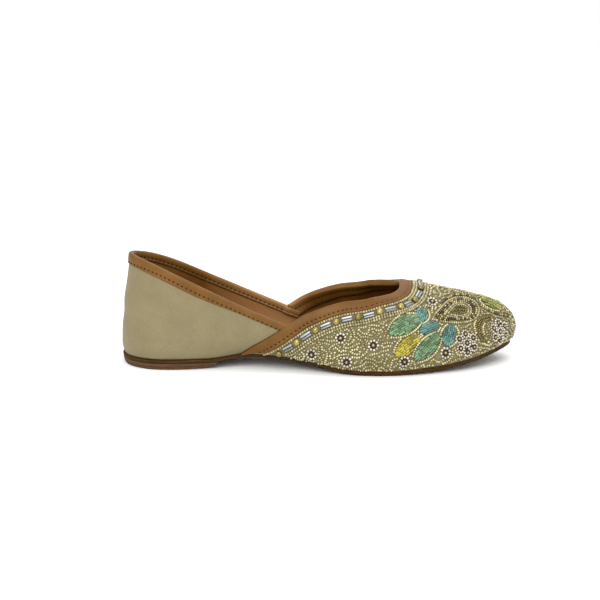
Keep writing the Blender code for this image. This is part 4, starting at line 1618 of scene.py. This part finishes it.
# How far a strand may swerve to find bare cloth for its next bead, the least swerve first
SWERVES = (0, 0.45, -0.45, 0.9, -0.9, 1.3, -1.3)


def random_spot():
    """A point anywhere on the vamp's skin and the way out there."""
    place = rng.uniform(vamp_start, TIP) if rng.random() < 0.5 else rng.uniform(-TIP, vamp_end)
    return over_cloth(on_vamp(place, rng.random() ** 0.8))


def next_spot(point, ahead, turn, strand, number):
    """Where the next bead of a strand finds bare cloth, or None where it finds none."""
    ways = (ahead, over_cloth(point)[1].cross(ahead).normalized())
    for swerve in SWERVES:
        spot = over_cloth(point + turned(ways, turn + swerve) * SEED_PITCH)[0]
        if (spot - point).length < SEED_PITCH * CLOSEST or not on_cloth(spot, BORDER_ROOM):
            continue
        if ground.clear(spot, SEED / 2, strand, number, STRAND_GAP):
            return spot
    return None


def wander(start, heading, strand):
    """A strand's line of beads, which grows both ways from its start and turns as it goes."""
    ground.add(start, SEED / 2, strand, 0)
    line = [start]
    for way in (1, -1):
        point, turn, ahead = start, rng.gauss(0, FIRST_TURN), heading * way
        for n in range(1, rng.randint(*BRANCH)):
            turn = KEPT_TURN * turn + rng.gauss(0, NEW_TURN)
            spot = next_spot(point, ahead, turn, strand, way * n)
            if spot is None:
                break
            ahead = (spot - point).normalized()
            point = spot
            ground.add(spot, SEED / 2, strand, way * n)
            line = line + [spot] if way > 0 else [spot] + line
    return line


def fill_with_strands():
    """Wandering strands of seed beads, close together over the rest of the cloth, then single beads."""
    strand = 0
    for _ in range(STRAND_TRIES):
        start, normal = random_spot()
        if not on_cloth(start, BORDER_ROOM) or not ground.clear(start, SEED / 2, apart=STRAND_GAP):
            continue
        strand += 1
        heading = turned(ways_across(normal, (0.2, 0.5, 1)), rng.uniform(0, 2 * math.pi))
        line = wander(start, heading, strand)
        # Painted shade darkens the strands toward the toe.
        shade = rng.uniform(0.15, 0.75) - TOE_PAINTED_SHADE * min(max((start.x - TOE_FROM) / TOE_FADE, 0.0), 1.0)
        for k, spot in enumerate(line):
            run = line[min(k + 1, len(line) - 1)] - line[max(k - 1, 0)]
            if run.length == 0:
                run = heading
            tint = min(1.0, max(0.0, shade + rng.uniform(-0.35, 0.4)))
            size = SEED * rng.uniform(0.90, 1.06)
            lay_bead("ivory", spot, run, size * FLATNESS, size, tint, claim=False)
    for _ in range(SINGLE_TRIES):
        spot, normal = random_spot()
        if on_cloth(spot, BORDER_ROOM) and ground.clear(spot, SEED / 2, apart=SINGLE_GAP):
            shade = rng.uniform(0.0, 0.7)
            lay_bead("ivory", spot, normal.cross(VIEW_RIGHT), SEED * FLATNESS, SEED, shade, strand=0)


# Piles of round beads and of bugles with the finish of each, and the most beads in one mesh
BEAD_PILES = {
    "border": PEARL,
    "ivory": PEARL,
    "white": WHITE,
    "gold_seed": GOLD,
    "antique": ANTIQUE,
    "olive": OLIVE,
    "dark": DARK,
}
BUGLE_PILES = {"mint": MINT, "teal": TEAL, "yellow": YELLOW, "lime": LIME}
MOST_BEADS = 3000
# Sides and rings of a seed bead and of a gold round, and sides of a bugle of the border and of a leaf
SEED_FACES = (8, 5)
ROUND_FACES = (18, 12)
SILVER_SIDES = 14
LEAF_SIDES = 8


def make_beads():
    """All the beadwork, each pile as one mesh or more."""
    make_border()
    for side in (1, -1):
        make_flowers(side)
        for leaf in LEAVES:
            make_leaf(leaf, side)
        make_teardrop(side)
        make_scrolls(side)
    fill_with_strands()
    for pile, finish in BEAD_PILES.items():
        beads = piles[pile]
        for k in range(0, len(beads), MOST_BEADS):
            name = f"{pile}_beads_{k // MOST_BEADS + 1}"
            string_up(name, beads[k : k + MOST_BEADS], bead_shape(*SEED_FACES), "beaded_cloth", finish)
    rounds = bead_shape(*ROUND_FACES)
    string_up("gold_round_beads", piles["gold_round"], rounds, "beaded_cloth", ROUND_GOLD)
    string_up("silver_bugles", piles["silver"], bugle_shape(SILVER_SIDES), "beaded_cloth", SILVER)
    for pile, finish in BUGLE_PILES.items():
        string_up(f"{pile}_bugles", piles[pile], bugle_shape(LEAF_SIDES), "beaded_cloth", finish)


HOLE_SIZES = (0.0016, 0.0009, 0.0006)


def make_stitches():
    """The holes that the stitches sink into, along every strip."""
    holes = [Bead(spot, run, out, *HOLE_SIZES, 0.5) for spot, out, run in stitch_spots]
    string_up("stitch_holes", holes, bead_shape(*SEED_FACES), "binding_leather", HOLE)


# Stage

FLOOR_REACH = 60.0
SKY_STRENGTH = 1.06
STUDIO_AIM = Vector((0.1, 0.0, 0.02))


def make_stage():
    """A pale floor under an even pale sky."""
    bm = bmesh.new()
    bmesh.ops.create_grid(bm, x_segments=1, y_segments=1, size=FLOOR_REACH)
    mesh = bpy.data.meshes.new("floor")
    bm.to_mesh(mesh)
    bm.free()
    floor = in_scene("floor", mesh)
    mesh.materials.append(plain_finish("pale_floor", (0.95, 0.95, 0.95), 0.9))
    world = bpy.data.worlds.new("studio")
    world.use_nodes = True
    sky = world.node_tree.nodes["Background"].inputs
    sky["Color"].default_value = (1, 1, 1, 1)
    sky["Strength"].default_value = SKY_STRENGTH
    bpy.context.scene.world = world
    bpy.context.scene.view_settings.view_transform = "Standard"


def turn_towards(piece, way):
    piece.rotation_euler = way.to_track_quat("-Z", "Y").to_euler()


def add_light(name, size, power, place):
    light = bpy.data.lights.new(name, "AREA")
    light.size = size
    light.energy = power
    lamp = in_scene(name, light)
    lamp.location = place
    turn_towards(lamp, STUDIO_AIM - Vector(place))


def make_camera():
    data = bpy.data.cameras.new("camera")
    data.lens = LENS
    data.sensor_width = SENSOR
    camera = in_scene("camera", data)
    camera.location = EYE
    turn_towards(camera, -VIEW_BACK)
    bpy.context.scene.camera = camera


make_upper()
make_cloth()
make_collar_binding()
make_vamp_binding()
make_band_ends()
make_bottom()
make_stitches()
make_beads()
make_stage()
add_light("key", 1.0, 10.5, (-0.10, -1.0, 0.85))
add_light("top", 1.2, 6.5, (0.35, 0.35, 1.2))
make_camera()
